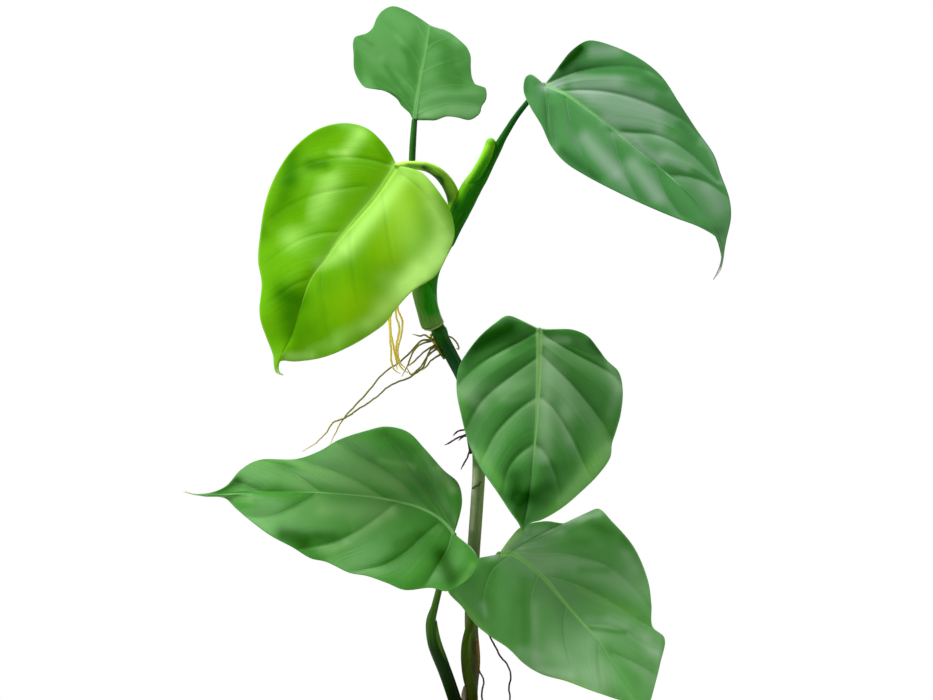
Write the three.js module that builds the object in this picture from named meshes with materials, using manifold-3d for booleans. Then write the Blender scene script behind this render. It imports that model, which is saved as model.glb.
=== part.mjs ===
// A climbing philodendron in a plain round pot: one stem with ringed nodes, six heart-shaped
// leaves on long petioles, the furled next leaf in its sheath, and aerial roots.
//
// Millimetres, +Z up. The origin is the middle of the pot's flat underside. The plant faces -Y.
// Its outlines are drawn in the front elevation, as [x, z], or as [x, z, y] with their depth.
// The elevation is drawn as it looks from EYE, so a point keeps its line of sight at any depth.

import * as THREE from 'three';
import Module from 'manifold-3d';
import { mergeVertices } from 'three/addons/utils/BufferGeometryUtils.js';

const wasm = await Module();
wasm.setup();

// Driving dimensions of the pot and the soil
const POT_HEIGHT = 130;
const POT_TOP_RADIUS = 70;
const POT_FOOT_RADIUS = 50;
const POT_WALL = 3.5;
const POT_FLOOR = 5;
const RIM_HEIGHT = 22;
const RIM_STEP = 3;
const DRAIN_HOLES = 5;
const DRAIN_RADIUS = 5;
const DRAIN_CIRCLE = 27;
const SOIL_TOP = 118;
const SOIL_CRUMB = 1.3;

// Driving dimensions of the plant
const EYE = { x: -4.9, z: 371.8, distance: 1700 };
const BLADE_THICKNESS = 0.9;
const RIB_DEPTH = 1.3;
const QUILTING = 1.1;
const LOBE_HEEL = 0.02;
const TIP_HALF_WIDTH = 0.45;
const TIP_SQUARENESS = 20;
// How fast the tilt of the halves sets in above the tip
const TIP_LEVELLING = 12;
const ROOT_RADIUS = 0.5;

// Clearance between pieces that touch on the plant
const GAP = 0.3;

// Fineness of the faceted solids
const BLADE_ROWS = 28;
const HEEL_ROWS = 5;
const BLADE_COLUMNS = [0.05, 0.27, 0.5, 0.75, 1];
const ROUND_SEGMENTS = 36;

// Curves

// The place in space of a point of the front elevation, at the depth y.
function placed([x, z, y = 0]) {
  const scale = (EYE.distance + y) / EYE.distance;
  return new THREE.Vector3(EYE.x + (x - EYE.x) * scale, y, EYE.z + (z - EYE.z) * scale);
}

// A smooth curve through points, as they are drawn in the elevation.
function drawn(points) {
  const corners = points.map(([x, z, y = 0]) => new THREE.Vector3(x, z, y));
  const curve = new THREE.CatmullRomCurve3(corners, false, 'centripetal');
  curve.arcLengthDivisions = 400;
  return curve;
}

// The value of an evenly spaced list at the fraction f of its length.
function along(list, f) {
  const place = Math.min(Math.max(f, 0), 1) * (list.length - 1);
  const low = Math.min(Math.floor(place), list.length - 2);
  return list[low] + (list[low + 1] - list[low]) * (place - low);
}

// Solids

// A closed solid from points and triangles.
function solidOf(points, triangles) {
  const mesh = new wasm.Mesh({
    numProp: 3,
    vertProperties: new Float32Array(points.flatMap((p) => [p.x, p.y, p.z])),
    triVerts: new Uint32Array(triangles.flat()),
  });
  return new wasm.Manifold(mesh);
}

// A closed solid from one of three.js's closed geometries.
function solidOfGeometry(geometry) {
  const bare = geometry.clone();
  bare.deleteAttribute('normal');
  bare.deleteAttribute('uv');
  const merged = mergeVertices(bare, 1e-4);
  const corners = Array.from(merged.index.array);
  const triangles = [];
  for (let i = 0; i < corners.length; i += 3) {
    const [a, b, c] = corners.slice(i, i + 3);
    if (a !== b && b !== c && c !== a) triangles.push([a, b, c]);
  }
  const mesh = new wasm.Mesh({
    numProp: 3,
    vertProperties: merged.attributes.position.array,
    triVerts: new Uint32Array(triangles.flat()),
  });
  return new wasm.Manifold(mesh);
}

// The solid's largest body, without the scraps that a cut can leave.
function mainBody(solid) {
  const bodies = solid.decompose();
  return bodies.reduce((best, body) => (body.volume() > best.volume() ? body : best));
}

function geometryOf(solid) {
  const mesh = solid.getMesh();
  const geometry = new THREE.BufferGeometry();
  geometry.setAttribute('position', new THREE.BufferAttribute(mesh.vertProperties, 3));
  geometry.setIndex(new THREE.BufferAttribute(mesh.triVerts, 1));
  return geometry;
}

function node(name, solid, { colour, roughness }) {
  const material = new THREE.MeshStandardMaterial({ color: colour, roughness, metalness: 0 });
  const mesh = new THREE.Mesh(geometryOf(solid), material);
  mesh.name = name;
  return mesh;
}

// A closed round tube along a route of [x, z, y] points. Its radius follows a list from its start
// to its end. A grown tube is wider and longer by the amount that it grows.
function tube({ route, radii, sides = 8, step = 8 }, grow = 0) {
  const curve = new THREE.CatmullRomCurve3(route.map(placed), false, 'centripetal');
  const steps = Math.max(3, Math.round(curve.getLength() / step));
  const { tangents, normals, binormals } = curve.computeFrenetFrames(steps, false);
  const points = [];
  const triangles = [];
  for (let i = 0; i <= steps; i += 1) {
    const centre = curve.getPointAt(i / steps);
    if (i === 0) centre.addScaledVector(tangents[i], -grow);
    if (i === steps) centre.addScaledVector(tangents[i], grow);
    const radius = along(radii, i / steps) + grow;
    for (let k = 0; k < sides; k += 1) {
      const angle = (2 * Math.PI * k) / sides;
      points.push(centre.clone()
        .addScaledVector(normals[i], radius * Math.cos(angle))
        .addScaledVector(binormals[i], radius * Math.sin(angle)));
    }
  }
  for (let i = 0; i < steps; i += 1) {
    for (let k = 0; k < sides; k += 1) {
      const a = i * sides + k;
      const b = i * sides + ((k + 1) % sides);
      triangles.push([a, b, b + sides], [a, b + sides, a + sides]);
    }
  }
  const end = steps * sides;
  for (let k = 1; k < sides - 1; k += 1) {
    triangles.push([0, k + 1, k], [end, end + k, end + k + 1]);
  }
  return solidOf(points, triangles);
}

// Leaf blades

// How many lateral veins, with fractions, lie before the fraction t of a margin.
function veinCount(veins, t) {
  const ends = [0, ...veins, 1];
  const next = Math.max(1, ends.findIndex((end) => end >= t));
  return next - 1 + (t - ends[next - 1]) / (ends[next] - ends[next - 1]);
}

// A blade is drawn by its midrib, with depths, and by its left and right margins from the petiole
// to the tip, left and right being as seen with the tip down. Lateral lines run from the midrib
// to the margin. Those of the lobes fan out from the petiole, and the rest sweep towards the tip.
function bladeSurface(leaf) {
  const midrib = drawn(leaf.midrib);
  const margins = { left: drawn(leaf.left), right: drawn(leaf.right) };
  const outward = { left: -1, right: 1 };

  // The point at the fraction f of the lateral line that ends at the fraction t of the margin.
  // Each half tilts, arches towards the viewer, swells between its veins and waves at its margin.
  return function pointAt(side, t, f, grow = 0) {
    const past = Math.max(0, (t - leaf.fan[side]) / (1 - leaf.fan[side]));
    const start = LOBE_HEEL * Math.min(1, t / leaf.fan[side])
      + (1 - LOBE_HEEL) * past ** leaf.sweep[side];
    const root = midrib.getPointAt(start);
    const heading = midrib.getTangentAt(start).setZ(0).normalize();
    const across = new THREE.Vector3(-heading.y, heading.x, 0).multiplyScalar(outward[side]);
    const edge = margins[side].getPointAt(t)
      .addScaledVector(across, TIP_HALF_WIDTH * t ** TIP_SQUARENESS);
    const reach = Math.hypot(edge.x - root.x, edge.y - root.y);
    const bend = root.clone().add(edge).multiplyScalar(0.5)
      .addScaledVector(heading, -leaf.bow * Math.min(1, 4 * past) * reach);
    const g = f === 1 ? 1 + grow / reach : f;
    const x = (1 - g) ** 2 * root.x + 2 * g * (1 - g) * bend.x + g ** 2 * edge.x;
    const z = (1 - g) ** 2 * root.y + 2 * g * (1 - g) * bend.y + g ** 2 * edge.y;
    const level = Math.min(1, TIP_LEVELLING * (1 - t));
    const [tiltX, tiltZ] = leaf.tilt[side].map((tilt) => tilt * level);
    const quilt = 0.5 - 0.5 * Math.cos(2 * Math.PI * veinCount(leaf.veins[side], t));
    const swell = leaf.arch[side] * reach + QUILTING * quilt * Math.min(1, reach / 20);
    const wave = Math.sin(2 * Math.PI * leaf.waves * t + leaf.phase[side]);
    const ruffle = leaf.ruffle * wave * g ** 2 * Math.min(1, 6 * (1 - t), 5 * t);
    const y = root.z + tiltX * (x - root.x) + tiltZ * (z - root.y)
      - 4 * g * (1 - g) * swell + ruffle;
    return placed([x, z, y]);
  };
}

// A blade of even thickness with a rounded midrib on its underside. Its two faces are split into
// triangles alike, so they never cross. A grown blade is thicker and wider all round.
function blade(leaf, grow = 0) {
  const pointAt = bladeSurface(leaf);
  const fractions = [...BLADE_COLUMNS].reverse();
  const rows = [];
  for (let i = 0; i <= BLADE_ROWS; i += 1) {
    const t = i / BLADE_ROWS;
    rows.push([
      ...fractions.map((f) => pointAt('left', t, f, grow)),
      pointAt('left', t, 0),
      ...BLADE_COLUMNS.map((f) => pointAt('right', t, f, grow)),
    ]);
  }
  const rib = BLADE_COLUMNS.length;
  const heel = rows[0][rib].clone().sub(rows[HEEL_ROWS][rib]).normalize();
  rows[0].forEach((point) => point.addScaledVector(heel, grow));

  // Each point's normal, towards the viewer, is the sum of those of the four cells around it.
  const width = rows[0].length;
  const normals = rows.map((row) => row.map(() => new THREE.Vector3()));
  for (let i = 0; i < BLADE_ROWS; i += 1) {
    for (let j = 0; j < width - 1; j += 1) {
      const down = rows[i + 1][j + 1].clone().sub(rows[i][j]);
      const up = rows[i][j + 1].clone().sub(rows[i + 1][j]);
      const normal = down.cross(up);
      [[i, j], [i, j + 1], [i + 1, j], [i + 1, j + 1]]
        .forEach(([row, column]) => normals[row][column].add(normal));
    }
  }
  const upper = [];
  const lower = [];
  rows.forEach((row, i) => row.forEach((point, j) => {
    const normal = normals[i][j].normalize();
    const ribbed = j === rib ? RIB_DEPTH * (1 - i / BLADE_ROWS) : 0;
    upper.push(point.clone().addScaledVector(normal, BLADE_THICKNESS / 2 + grow));
    lower.push(point.clone().addScaledVector(normal, -BLADE_THICKNESS / 2 - grow - ribbed));
  }));

  const under = upper.length;
  const triangles = [];
  for (let i = 0; i < BLADE_ROWS; i += 1) {
    for (let j = 0; j < width - 1; j += 1) {
      const a = i * width + j;
      const b = a + 1;
      const c = b + width;
      const d = a + width;
      triangles.push([a, d, c], [a, c, b]);
      triangles.push([under + a, under + c, under + d], [under + a, under + b, under + c]);
    }
  }
  const rim = [];
  for (let i = 0; i < BLADE_ROWS; i += 1) rim.push(i * width);
  for (let j = 0; j < width - 1; j += 1) rim.push(BLADE_ROWS * width + j);
  for (let i = BLADE_ROWS; i > 0; i -= 1) rim.push(i * width + width - 1);
  for (let j = width - 1; j > 0; j -= 1) rim.push(j);
  rim.forEach((p, i) => {
    const q = rim[(i + 1) % rim.length];
    triangles.push([q, p, under + p], [q, under + p, under + q]);
  });
  return solidOf([...upper, ...lower], triangles);
}

// The leaves' drawings. Each tilt is how far the depth grows for each millimetre to the right and
// for each millimetre up, away from the midrib. The veins are listed by where they meet the margin.

const LIME_LEAF = {
  midrib: [
    [-50, 491.5, -30], [-64, 471, -33], [-76, 457, -36], [-87, 444, -40], [-95, 433, -43],
    [-102, 424, -45], [-107, 415.5, -47], [-113, 398, -51], [-118.5, 381, -55],
    [-127, 364, -59], [-128, 358, -60], [-124, 355.5, -60],
  ],
  left: [
    [-52, 492], [-54, 499], [-60.5, 508], [-70, 516], [-84, 519.3], [-100, 516], [-112, 508],
    [-122, 497], [-131, 481], [-136, 466], [-139, 447], [-140.3, 430], [-138, 415],
    [-139.5, 398], [-138.5, 390], [-135, 380], [-130.5, 368], [-130, 362], [-128.5, 357],
    [-124, 355.5],
  ],
  right: [
    [-49, 491], [-40, 489.5], [-34, 487], [-27, 480], [-21, 472], [-16, 464], [-12.6, 447],
    [-17.5, 433], [-25, 420], [-40, 410], [-51, 398], [-58, 389], [-63, 385], [-79, 375],
    [-98, 367], [-116, 364.3], [-126, 364.5], [-127.5, 361], [-126.8, 357.8], [-124, 355.5],
  ],
  tilt: { left: [-0.18, 0.25], right: [0.05, 0.22] },
  fan: { left: 0.28, right: 0.28 }, sweep: { left: 1.8, right: 1.8 }, bow: 0.13,
  arch: { left: 0.07, right: 0.07 },
  veins: { left: [0.2, 0.35, 0.5, 0.64, 0.78, 0.9], right: [0.25, 0.42, 0.55, 0.68, 0.8, 0.9] },
  ruffle: 2.5, waves: 3.2, phase: { left: 0.5, right: 2.2 },
};

const TOP_LEAF = {
  midrib: [
    [-38.5, 521.3, 15], [-37.5, 530, 21], [-36, 540, 30], [-34.5, 550, 40], [-32.5, 560, 50],
    [-31, 568, 58], [-30, 575, 66], [-29, 581, 76], [-28.5, 582.5, 86], [-28, 580, 97],
    [-27.5, 573, 107], [-27, 566, 113],
  ],
  left: [
    [-40.3, 522.5], [-43, 527.8], [-47.3, 530.9], [-50, 535], [-56.8, 539.7], [-64, 541.8],
    [-70.9, 542.6], [-75, 547.2], [-77.9, 554], [-78.3, 564], [-78.7, 571], [-77.5, 575],
    [-74, 576.4], [-69.8, 577.6], [-66, 581], [-63.3, 587.4], [-59.5, 592.3], [-53, 595.2],
    [-45, 592.8], [-39.5, 588.3], [-34, 580], [-27, 566],
  ],
  right: [
    [-37, 521.2], [-29, 521.1], [-25, 521.1], [-18, 523.5], [-11, 523], [-4, 521.3],
    [-0.4, 522.2], [3.8, 525.7], [5, 530], [7.7, 534.3], [8.2, 538.6], [7, 542.4],
    [3.5, 542.6], [0.8, 544.4], [-1.4, 549], [-2.1, 555], [-2.3, 563], [-4.6, 568.3],
    [-9, 572.8], [-16, 578.2], [-22, 580.5], [-27, 577], [-27, 566],
  ],
  tilt: { left: [-0.05, 0.75], right: [0.1, 0.75] },
  fan: { left: 0.08, right: 0.05 }, sweep: { left: 1, right: 1.1 }, bow: 0.08,
  arch: { left: 0.06, right: 0.06 },
  veins: { left: [0.2, 0.36, 0.52, 0.64, 0.78], right: [0.22, 0.38, 0.52, 0.68, 0.8] },
  ruffle: 2, waves: 3.4, phase: { left: 0, right: 2 },
};

const UPPER_RIGHT_LEAF = {
  midrib: [
    [45.5, 544, -11], [57.6, 538.7, -12], [79.4, 523.4, -13], [101, 506.5, -14],
    [123, 488, -16], [139.3, 472.8, -18], [148, 463, -19], [155.7, 453, -20],
    [160.6, 443.4, -20], [161.8, 436, -20], [161.3, 430, -20], [159.5, 424, -20],
    [155.5, 417.5, -20],
  ],
  left: [
    [44, 544.5], [39, 550], [36.5, 550.8], [33.5, 549], [32.2, 540.5], [36, 531], [44, 517.5],
    [50, 504.5], [59, 494], [72, 485.5], [90, 476], [110, 466.5], [130, 458], [147, 451.5],
    [158, 444.5], [160.5, 439], [160.9, 431], [159, 424.5], [155.5, 417.5],
  ],
  right: [
    [47, 545.5], [50, 549.5], [54, 554.5], [63, 566], [72, 572.3], [77, 573], [90, 569.5],
    [108, 561], [122, 549.5], [133, 533], [144, 516], [156, 498.5], [160, 487], [166, 470],
    [167, 458], [164, 443.5], [162.8, 437], [161.9, 430], [160, 423.5], [155.5, 417.5],
  ],
  tilt: { left: [1.03, 1.09], right: [0.32, 0.34] },
  fan: { left: 0.26, right: 0.26 }, sweep: { left: 1.4, right: 2.5 }, bow: 0.2,
  arch: { left: 0.05, right: 0.02 },
  veins: { left: [0.25, 0.44, 0.6, 0.74, 0.86], right: [0.25, 0.44, 0.57, 0.74, 0.83] },
  ruffle: 2, waves: 3.1, phase: { left: 1, right: 2.6 },
};

const MIDDLE_RIGHT_LEAF = {
  midrib: [
    [42.5, 385.5, -45], [42.3, 370, -46], [41.8, 350, -48], [40.2, 320, -51], [39, 305, -53],
    [37.5, 290, -54], [36, 280, -55], [33.5, 265, -55], [31.5, 254, -55],
  ],
  left: [
    [40, 385.7], [31, 391], [21.5, 394], [14, 389.5], [4, 381], [-4, 371], [-10, 360.5],
    [-11.3, 346], [-8.5, 330], [-3.5, 311], [3, 297], [14, 281], [24, 266], [28.8, 259.5],
    [31.5, 254],
  ],
  right: [
    [45, 385.5], [50, 385.2], [64, 385], [74, 380.7], [80.5, 373], [86, 365.5], [94, 357.5],
    [96.6, 346], [95.3, 330], [92.3, 319], [89.7, 311], [88.5, 302], [81, 291], [70, 280],
    [57, 269], [44, 261.5], [36, 259], [31.5, 254],
  ],
  tilt: { left: [-0.22, 0.04], right: [0.22, 0.04] },
  fan: { left: 0.28, right: 0.28 }, sweep: { left: 2.25, right: 2.3 }, bow: 0.17,
  arch: { left: 0.04, right: 0.04 },
  veins: { left: [0.2, 0.4, 0.57, 0.73, 0.86], right: [0.2, 0.38, 0.6, 0.72, 0.84] },
  ruffle: 2.4, waves: 3.3, phase: { left: 0.6, right: 1.9 },
};

const LOWER_LEFT_LEAF = {
  midrib: [
    [-13, 252, -30], [-19, 259, -24], [-27, 265, -20], [-37, 269.5, -16], [-48, 272.5, -14],
    [-60, 275, -12], [-75, 277, -10], [-105, 279, -8], [-135, 279.5, -8], [-160, 278.5, -10],
    [-180, 277.5, -14], [-189, 280, -16],
  ],
  left: [
    [-13.5, 254], [-11, 259], [-7.8, 274], [-10.5, 285.5], [-19.5, 293.5], [-31.5, 307], [-43, 318.5],
    [-57, 322], [-70, 319.3], [-88, 313.3], [-100, 306.3], [-115, 301], [-140, 300.2],
    [-151.5, 294], [-161, 283.5], [-169, 279.6], [-180, 278], [-189, 280],
  ],
  right: [
    [-11.5, 250.5], [-8, 247.5], [-1, 242.5], [2.5, 235.5], [-0.5, 226.5], [-9, 219],
    [-17.5, 215], [-28, 217.2], [-45, 215.8], [-57, 220.5], [-70, 225], [-81, 227], [-96, 234],
    [-106, 236.3], [-118, 243.5], [-132, 251], [-145, 260.5], [-155, 269], [-162, 275.5],
    [-176, 276.8], [-189, 280],
  ],
  tilt: { left: [0, 0.93], right: [0, 0.93] },
  fan: { left: 0.24, right: 0.24 }, sweep: { left: 1.8, right: 2.1 }, bow: 0.16,
  arch: { left: 0.03, right: 0.06 },
  veins: { left: [0.27, 0.45, 0.65, 0.76, 0.87], right: [0.3, 0.48, 0.635, 0.8, 0.9] },
  ruffle: 2.4, waves: 3.4, phase: { left: 0.4, right: 2 },
};

const LOWER_RIGHT_LEAF = {
  midrib: [
    [16.5, 239, -20], [24, 239.5, -20], [30, 236.5, -20], [44, 225, -22], [56, 211, -27],
    [68, 197, -32], [80, 184, -38], [92, 165, -46], [104, 147.5, -54], [111, 131, -60],
    [109, 122, -62],
  ],
  left: [
    [15.5, 237.8], [6, 236.3], [-3, 235], [-8, 230], [-13, 222], [-17, 215.5], [-8, 205],
    [1, 193.5], [10, 186], [22, 178], [33, 167.5], [44, 161], [60, 156.5], [75, 150.8],
    [88, 146.3], [97, 143], [105, 137], [109, 130], [109, 122],
  ],
  right: [
    [17, 240.3], [24, 250], [31, 257], [46, 260.5], [60, 259.3], [72, 264], [80.5, 268.7],
    [90, 260], [104, 243.5], [113, 222], [115.3, 206], [116, 192], [123.8, 184.5], [121, 168],
    [117, 152], [112.5, 136], [110, 128], [109, 122],
  ],
  tilt: { left: [0.12, 0.2], right: [0.1, 0.3] },
  fan: { left: 0.3, right: 0.24 }, sweep: { left: 2, right: 2.4 }, bow: 0.15,
  arch: { left: 0.03, right: 0.05 },
  veins: { left: [0.2, 0.385, 0.58, 0.7, 0.82], right: [0.2, 0.5, 0.69, 0.77, 0.87] },
  ruffle: 2.6, waves: 3.3, phase: { left: 1.2, right: 2.4 },
};

// Pot and soil

// The pot's inner radius at a height above its base.
function potInside(z) {
  return POT_FOOT_RADIUS + ((POT_TOP_RADIUS - RIM_STEP - POT_FOOT_RADIUS) * z) / POT_HEIGHT - POT_WALL;
}

function turned(profile) {
  return solidOfGeometry(new THREE.LatheGeometry(
    profile.map(([r, z]) => new THREE.Vector2(r, z)),
    ROUND_SEGMENTS,
  ).rotateX(Math.PI / 2));
}

function buildPot() {
  const rimFoot = POT_HEIGHT - RIM_HEIGHT;
  const bodyRadius = (z) => potInside(z) + POT_WALL;
  const shell = turned([
    [0, 0], [POT_FOOT_RADIUS - 2, 0], [POT_FOOT_RADIUS, 2],
    [bodyRadius(rimFoot), rimFoot], [POT_TOP_RADIUS - 1, rimFoot + 1],
    [POT_TOP_RADIUS, POT_HEIGHT - 1.5], [POT_TOP_RADIUS - 1.5, POT_HEIGHT],
    [potInside(POT_HEIGHT) + 1, POT_HEIGHT], [potInside(POT_HEIGHT), POT_HEIGHT - 1],
    [potInside(POT_FLOOR), POT_FLOOR], [0, POT_FLOOR],
  ]);
  const holes = Array.from({ length: DRAIN_HOLES }, (_, i) => {
    const angle = (2 * Math.PI * (i + 0.5)) / DRAIN_HOLES;
    const hole = new THREE.CylinderGeometry(DRAIN_RADIUS, DRAIN_RADIUS, 4 * POT_FLOOR, 16)
      .rotateX(Math.PI / 2)
      .translate(DRAIN_CIRCLE * Math.cos(angle), DRAIN_CIRCLE * Math.sin(angle), 0);
    return solidOfGeometry(hole);
  });
  return holes.reduce((pot, hole) => pot.subtract(hole), shell);
}

// The soil fills the pot to just under its rim, with a crumbled top that dips at the middle and
// plain holes for whatever stands in it.
function buildSoil(standing) {
  const crumb = (x, y) => SOIL_CRUMB * (Math.sin(0.31 * x + 0.5) * Math.cos(0.27 * y)
    + 0.6 * Math.sin(0.55 * y - 0.41 * x + 2));
  const rings = [0.2, 0.4, 0.6, 0.8, 1];
  const points = [new THREE.Vector3(0, 0, SOIL_TOP + crumb(0, 0))];
  const triangles = [];
  const ring = (radius, height) => {
    for (let k = 0; k < ROUND_SEGMENTS; k += 1) {
      const angle = (2 * Math.PI * k) / ROUND_SEGMENTS;
      const x = radius * Math.cos(angle);
      const y = radius * Math.sin(angle);
      points.push(new THREE.Vector3(x, y, height(x, y)));
    }
  };
  rings.forEach((f) => ring(f * (potInside(SOIL_TOP) - 2 * GAP), (x, y) => SOIL_TOP + crumb(x, y)));
  ring(potInside(POT_FLOOR) - 2 * GAP, () => POT_FLOOR + GAP);
  points.push(new THREE.Vector3(0, 0, POT_FLOOR + GAP));
  const last = points.length - 1;
  for (let k = 0; k < ROUND_SEGMENTS; k += 1) {
    const next = (k + 1) % ROUND_SEGMENTS;
    triangles.push([0, 1 + k, 1 + next]);
    for (let i = 0; i < rings.length; i += 1) {
      const a = 1 + i * ROUND_SEGMENTS + k;
      const b = 1 + i * ROUND_SEGMENTS + next;
      triangles.push([a, a + ROUND_SEGMENTS, b + ROUND_SEGMENTS], [a, b + ROUND_SEGMENTS, b]);
    }
    triangles.push([last, last - ROUND_SEGMENTS + next, last - ROUND_SEGMENTS + k]);
  }
  const lump = solidOf(points, triangles);
  return mainBody(standing.reduce((soil, piece) => soil.subtract(piece), lump));
}

// Stem and petioles

const STEM = {
  route: [
    [-2, 62], [-2, 100], [-2, 150], [-0.3, 170], [-1.6, 190], [-1.5, 215], [-0.5, 237],
    [1.8, 270], [3, 290], [3, 305], [1, 320], [-2, 339], [-7.4, 354], [-14.6, 368],
    [-21.4, 381.2], [-26.8, 395], [-28.8, 409], [-27.5, 422], [-23.5, 432], [-17.8, 443],
    [-12.5, 455], [-10.5, 459],
  ],
  radii: [4.6, 4.4, 4.2, 4.2, 4.3, 4.6, 5.1, 4.9],
  sides: 10,
  step: 10,
};

// Each node is a low ring round the stem, where a leaf has grown.
const NODE_RINGS = [
  { route: [[-1.9, 137], [-1.9, 140], [-1.9, 143]], radii: [4.3, 5.1, 4.3], sides: 10, step: 2 },
  { route: [[-0.9, 226], [-0.7, 229], [-0.6, 232]], radii: [4.1, 4.8, 4.1], sides: 10, step: 2 },
  { route: [[1.7, 315], [1.2, 318.5], [0.4, 322]], radii: [4.2, 5.2, 4.2], sides: 10, step: 2 },
  {
    route: [[-20.3, 379], [-22.4, 383.5], [-24.2, 388]], radii: [4.7, 5.6, 4.7], sides: 10, step: 2,
  },
];

const TOP_PETIOLE = {
  route: [
    [-28.4, 387.5, 0], [-30, 393, 0.2], [-32, 399, 0.8], [-33.9, 406, 1.8], [-36, 415, 3.6],
    [-38.8, 427, 6], [-41, 460, 10], [-40.4, 490, 13], [-39.8, 505, 14], [-38.7, 520.4, 16],
  ],
  radii: [4.8, 5.6, 5.2, 4.8, 4, 2.8, 2.2, 2.2, 2.2, 2],
};

const LIME_PETIOLE = {
  route: [
    [-14, 453, 4], [-12.6, 462, 5], [-13.2, 470, 2.6], [-15.4, 476.8, -2.5], [-19.2, 482.8, -9],
    [-24.3, 487.6, -15.5], [-30.5, 490.7, -20.5], [-38, 491.8, -25], [-45, 492, -27.5],
    [-49, 491.8, -28.2],
  ],
  radii: [4, 4.3, 4.3, 4.3, 4.1, 3.6, 3.1, 2.8, 2.4, 2.1],
  step: 6,
};

const UPPER_RIGHT_PETIOLE = {
  route: [
    [-17.2, 442.6, 0], [-13.4, 452, 0.4], [-9.7, 460.5, 0.8], [-6, 468.5, 0.9],
    [-1.8, 476.8, 0.6], [3.8, 484.9, 0.2], [8.8, 493, -0.4], [14.9, 502.8, -1.4],
    [18.9, 510, -2.4], [27.4, 523.5, -4.6], [34, 532, -6], [40, 539, -7], [44.8, 543.4, -8.6],
  ],
  radii: [4.9, 5.6, 6.4, 6.8, 6.7, 5.6, 4.4, 3.1, 2.4, 1.9, 1.7, 1.7, 1.7],
};

const MIDDLE_RIGHT_PETIOLE = {
  route: [
    [1, 311, -2], [4, 318, -6], [12, 330, -16], [24, 350, -30], [34, 368, -39.5],
    [40, 379, -41.5], [42.3, 383.5, -42.2],
  ],
  radii: [3.2, 2.6, 2.3, 2.3, 2.2, 2.1, 2],
};

const LOWER_LEFT_PETIOLE = {
  route: [
    [-3, 100, -3], [-5, 118, -5], [-8, 130, -6], [-13, 146, -9], [-18.5, 162, -13],
    [-26, 181, -17], [-28, 195, -20], [-25.5, 205, -21.5], [-23, 215, -22.5],
    [-17.5, 238, -26], [-13.2, 251, -28.3],
  ],
  radii: [3.6, 4.2, 4.3, 4.3, 4.3, 4.1, 3.2, 2.1, 2, 2, 1.9],
};

const LOWER_RIGHT_PETIOLE = {
  route: [
    [-1.5, 128, -3], [-1.2, 140, -6], [-1.5, 150, -8.3], [-4, 160, -9.5], [-5.2, 170, -9.8],
    [-5, 180, -9.8], [-3, 190, -9.8], [1, 203, -10.5], [7, 219, -12], [13, 233, -15.5],
    [16.2, 238.5, -18.4],
  ],
  radii: [3.4, 3.8, 3.7, 3.4, 3.3, 3.2, 2.9, 2.4, 2.2, 2.1, 2],
};

const NEW_LEAF_SHEATH = {
  route: [
    [-5.8, 475.2, 1.4], [-2.7, 480, -0.6], [1.8, 486.5, -2.8], [5.5, 493, -4],
    [8.6, 499.5, -4.6], [10.9, 506.3, -4.6], [11.4, 509.4, -4.6],
  ],
  radii: [3.6, 3.9, 3.9, 3.7, 3.5, 3, 1.2],
  step: 5,
};

const DRY_BRACT = {
  route: [[-5.5, 132, -4.5], [-6.3, 138, -7.5], [-7, 148, -9.5], [-6.5, 153, -9.5]],
  radii: [1.2, 1.2, 1, 0.3],
  sides: 5,
  step: 5,
};

// Roots. The roots of a bunch grow from one pad of root tissue that lies against the stem.

const UPPER_ROOTS = {
  pad: { route: [[-19.5, 366.5, 0], [-22.2, 370.5, 0], [-27, 379, -0.4]], radii: [1.3, 1.7, 1.5] },
  roots: [
    [[-27, 378, -1], [-34, 378, -2], [-38.5, 373.5, -3], [-47, 365, -3], [-59, 356.5, 0],
      [-69.5, 344, 5], [-76.5, 336.5, 9], [-85, 327, 15], [-90.5, 317, 22], [-93.5, 310.5, 27]],
    [[-25, 374, -1.5], [-29, 371, -5], [-33, 361, -6], [-42, 354, -6], [-54, 349, -5],
      [-65, 340, -4], [-76.5, 332.5, -1], [-84, 327.5, 1], [-91, 325, 3], [-97, 317, 5],
      [-104, 310.5, 7], [-111.5, 306, 8]],
    [[-27, 378, -2], [-32, 381.5, -5], [-35, 381, -6], [-40, 382, -6.5]],
    [[-27, 378, 0], [-37, 374, 2], [-42, 365, 3], [-43.5, 361, 3], [-47, 354.5, 3]],
    [[-25.5, 375, 0], [-32, 371, 1.5], [-40, 363.5, 1.5], [-43.5, 361, 1]],
    [[-24.5, 372.5, -1], [-29, 369, -3], [-36, 359.5, -3], [-41, 356, -3], [-44, 361, -3]],
    [[-22.5, 368.5, -0.5], [-28, 365, 0], [-31, 361, 0], [-34, 358.5, 0]],
    [[-23.6, 373, 1], [-22, 376, 6], [-17, 380.5, 6.6], [-12.4, 378.2, 4.4], [-9.8, 374.4, 3.2],
      [-10.2, 372.2, 3]],
  ],
};

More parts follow.
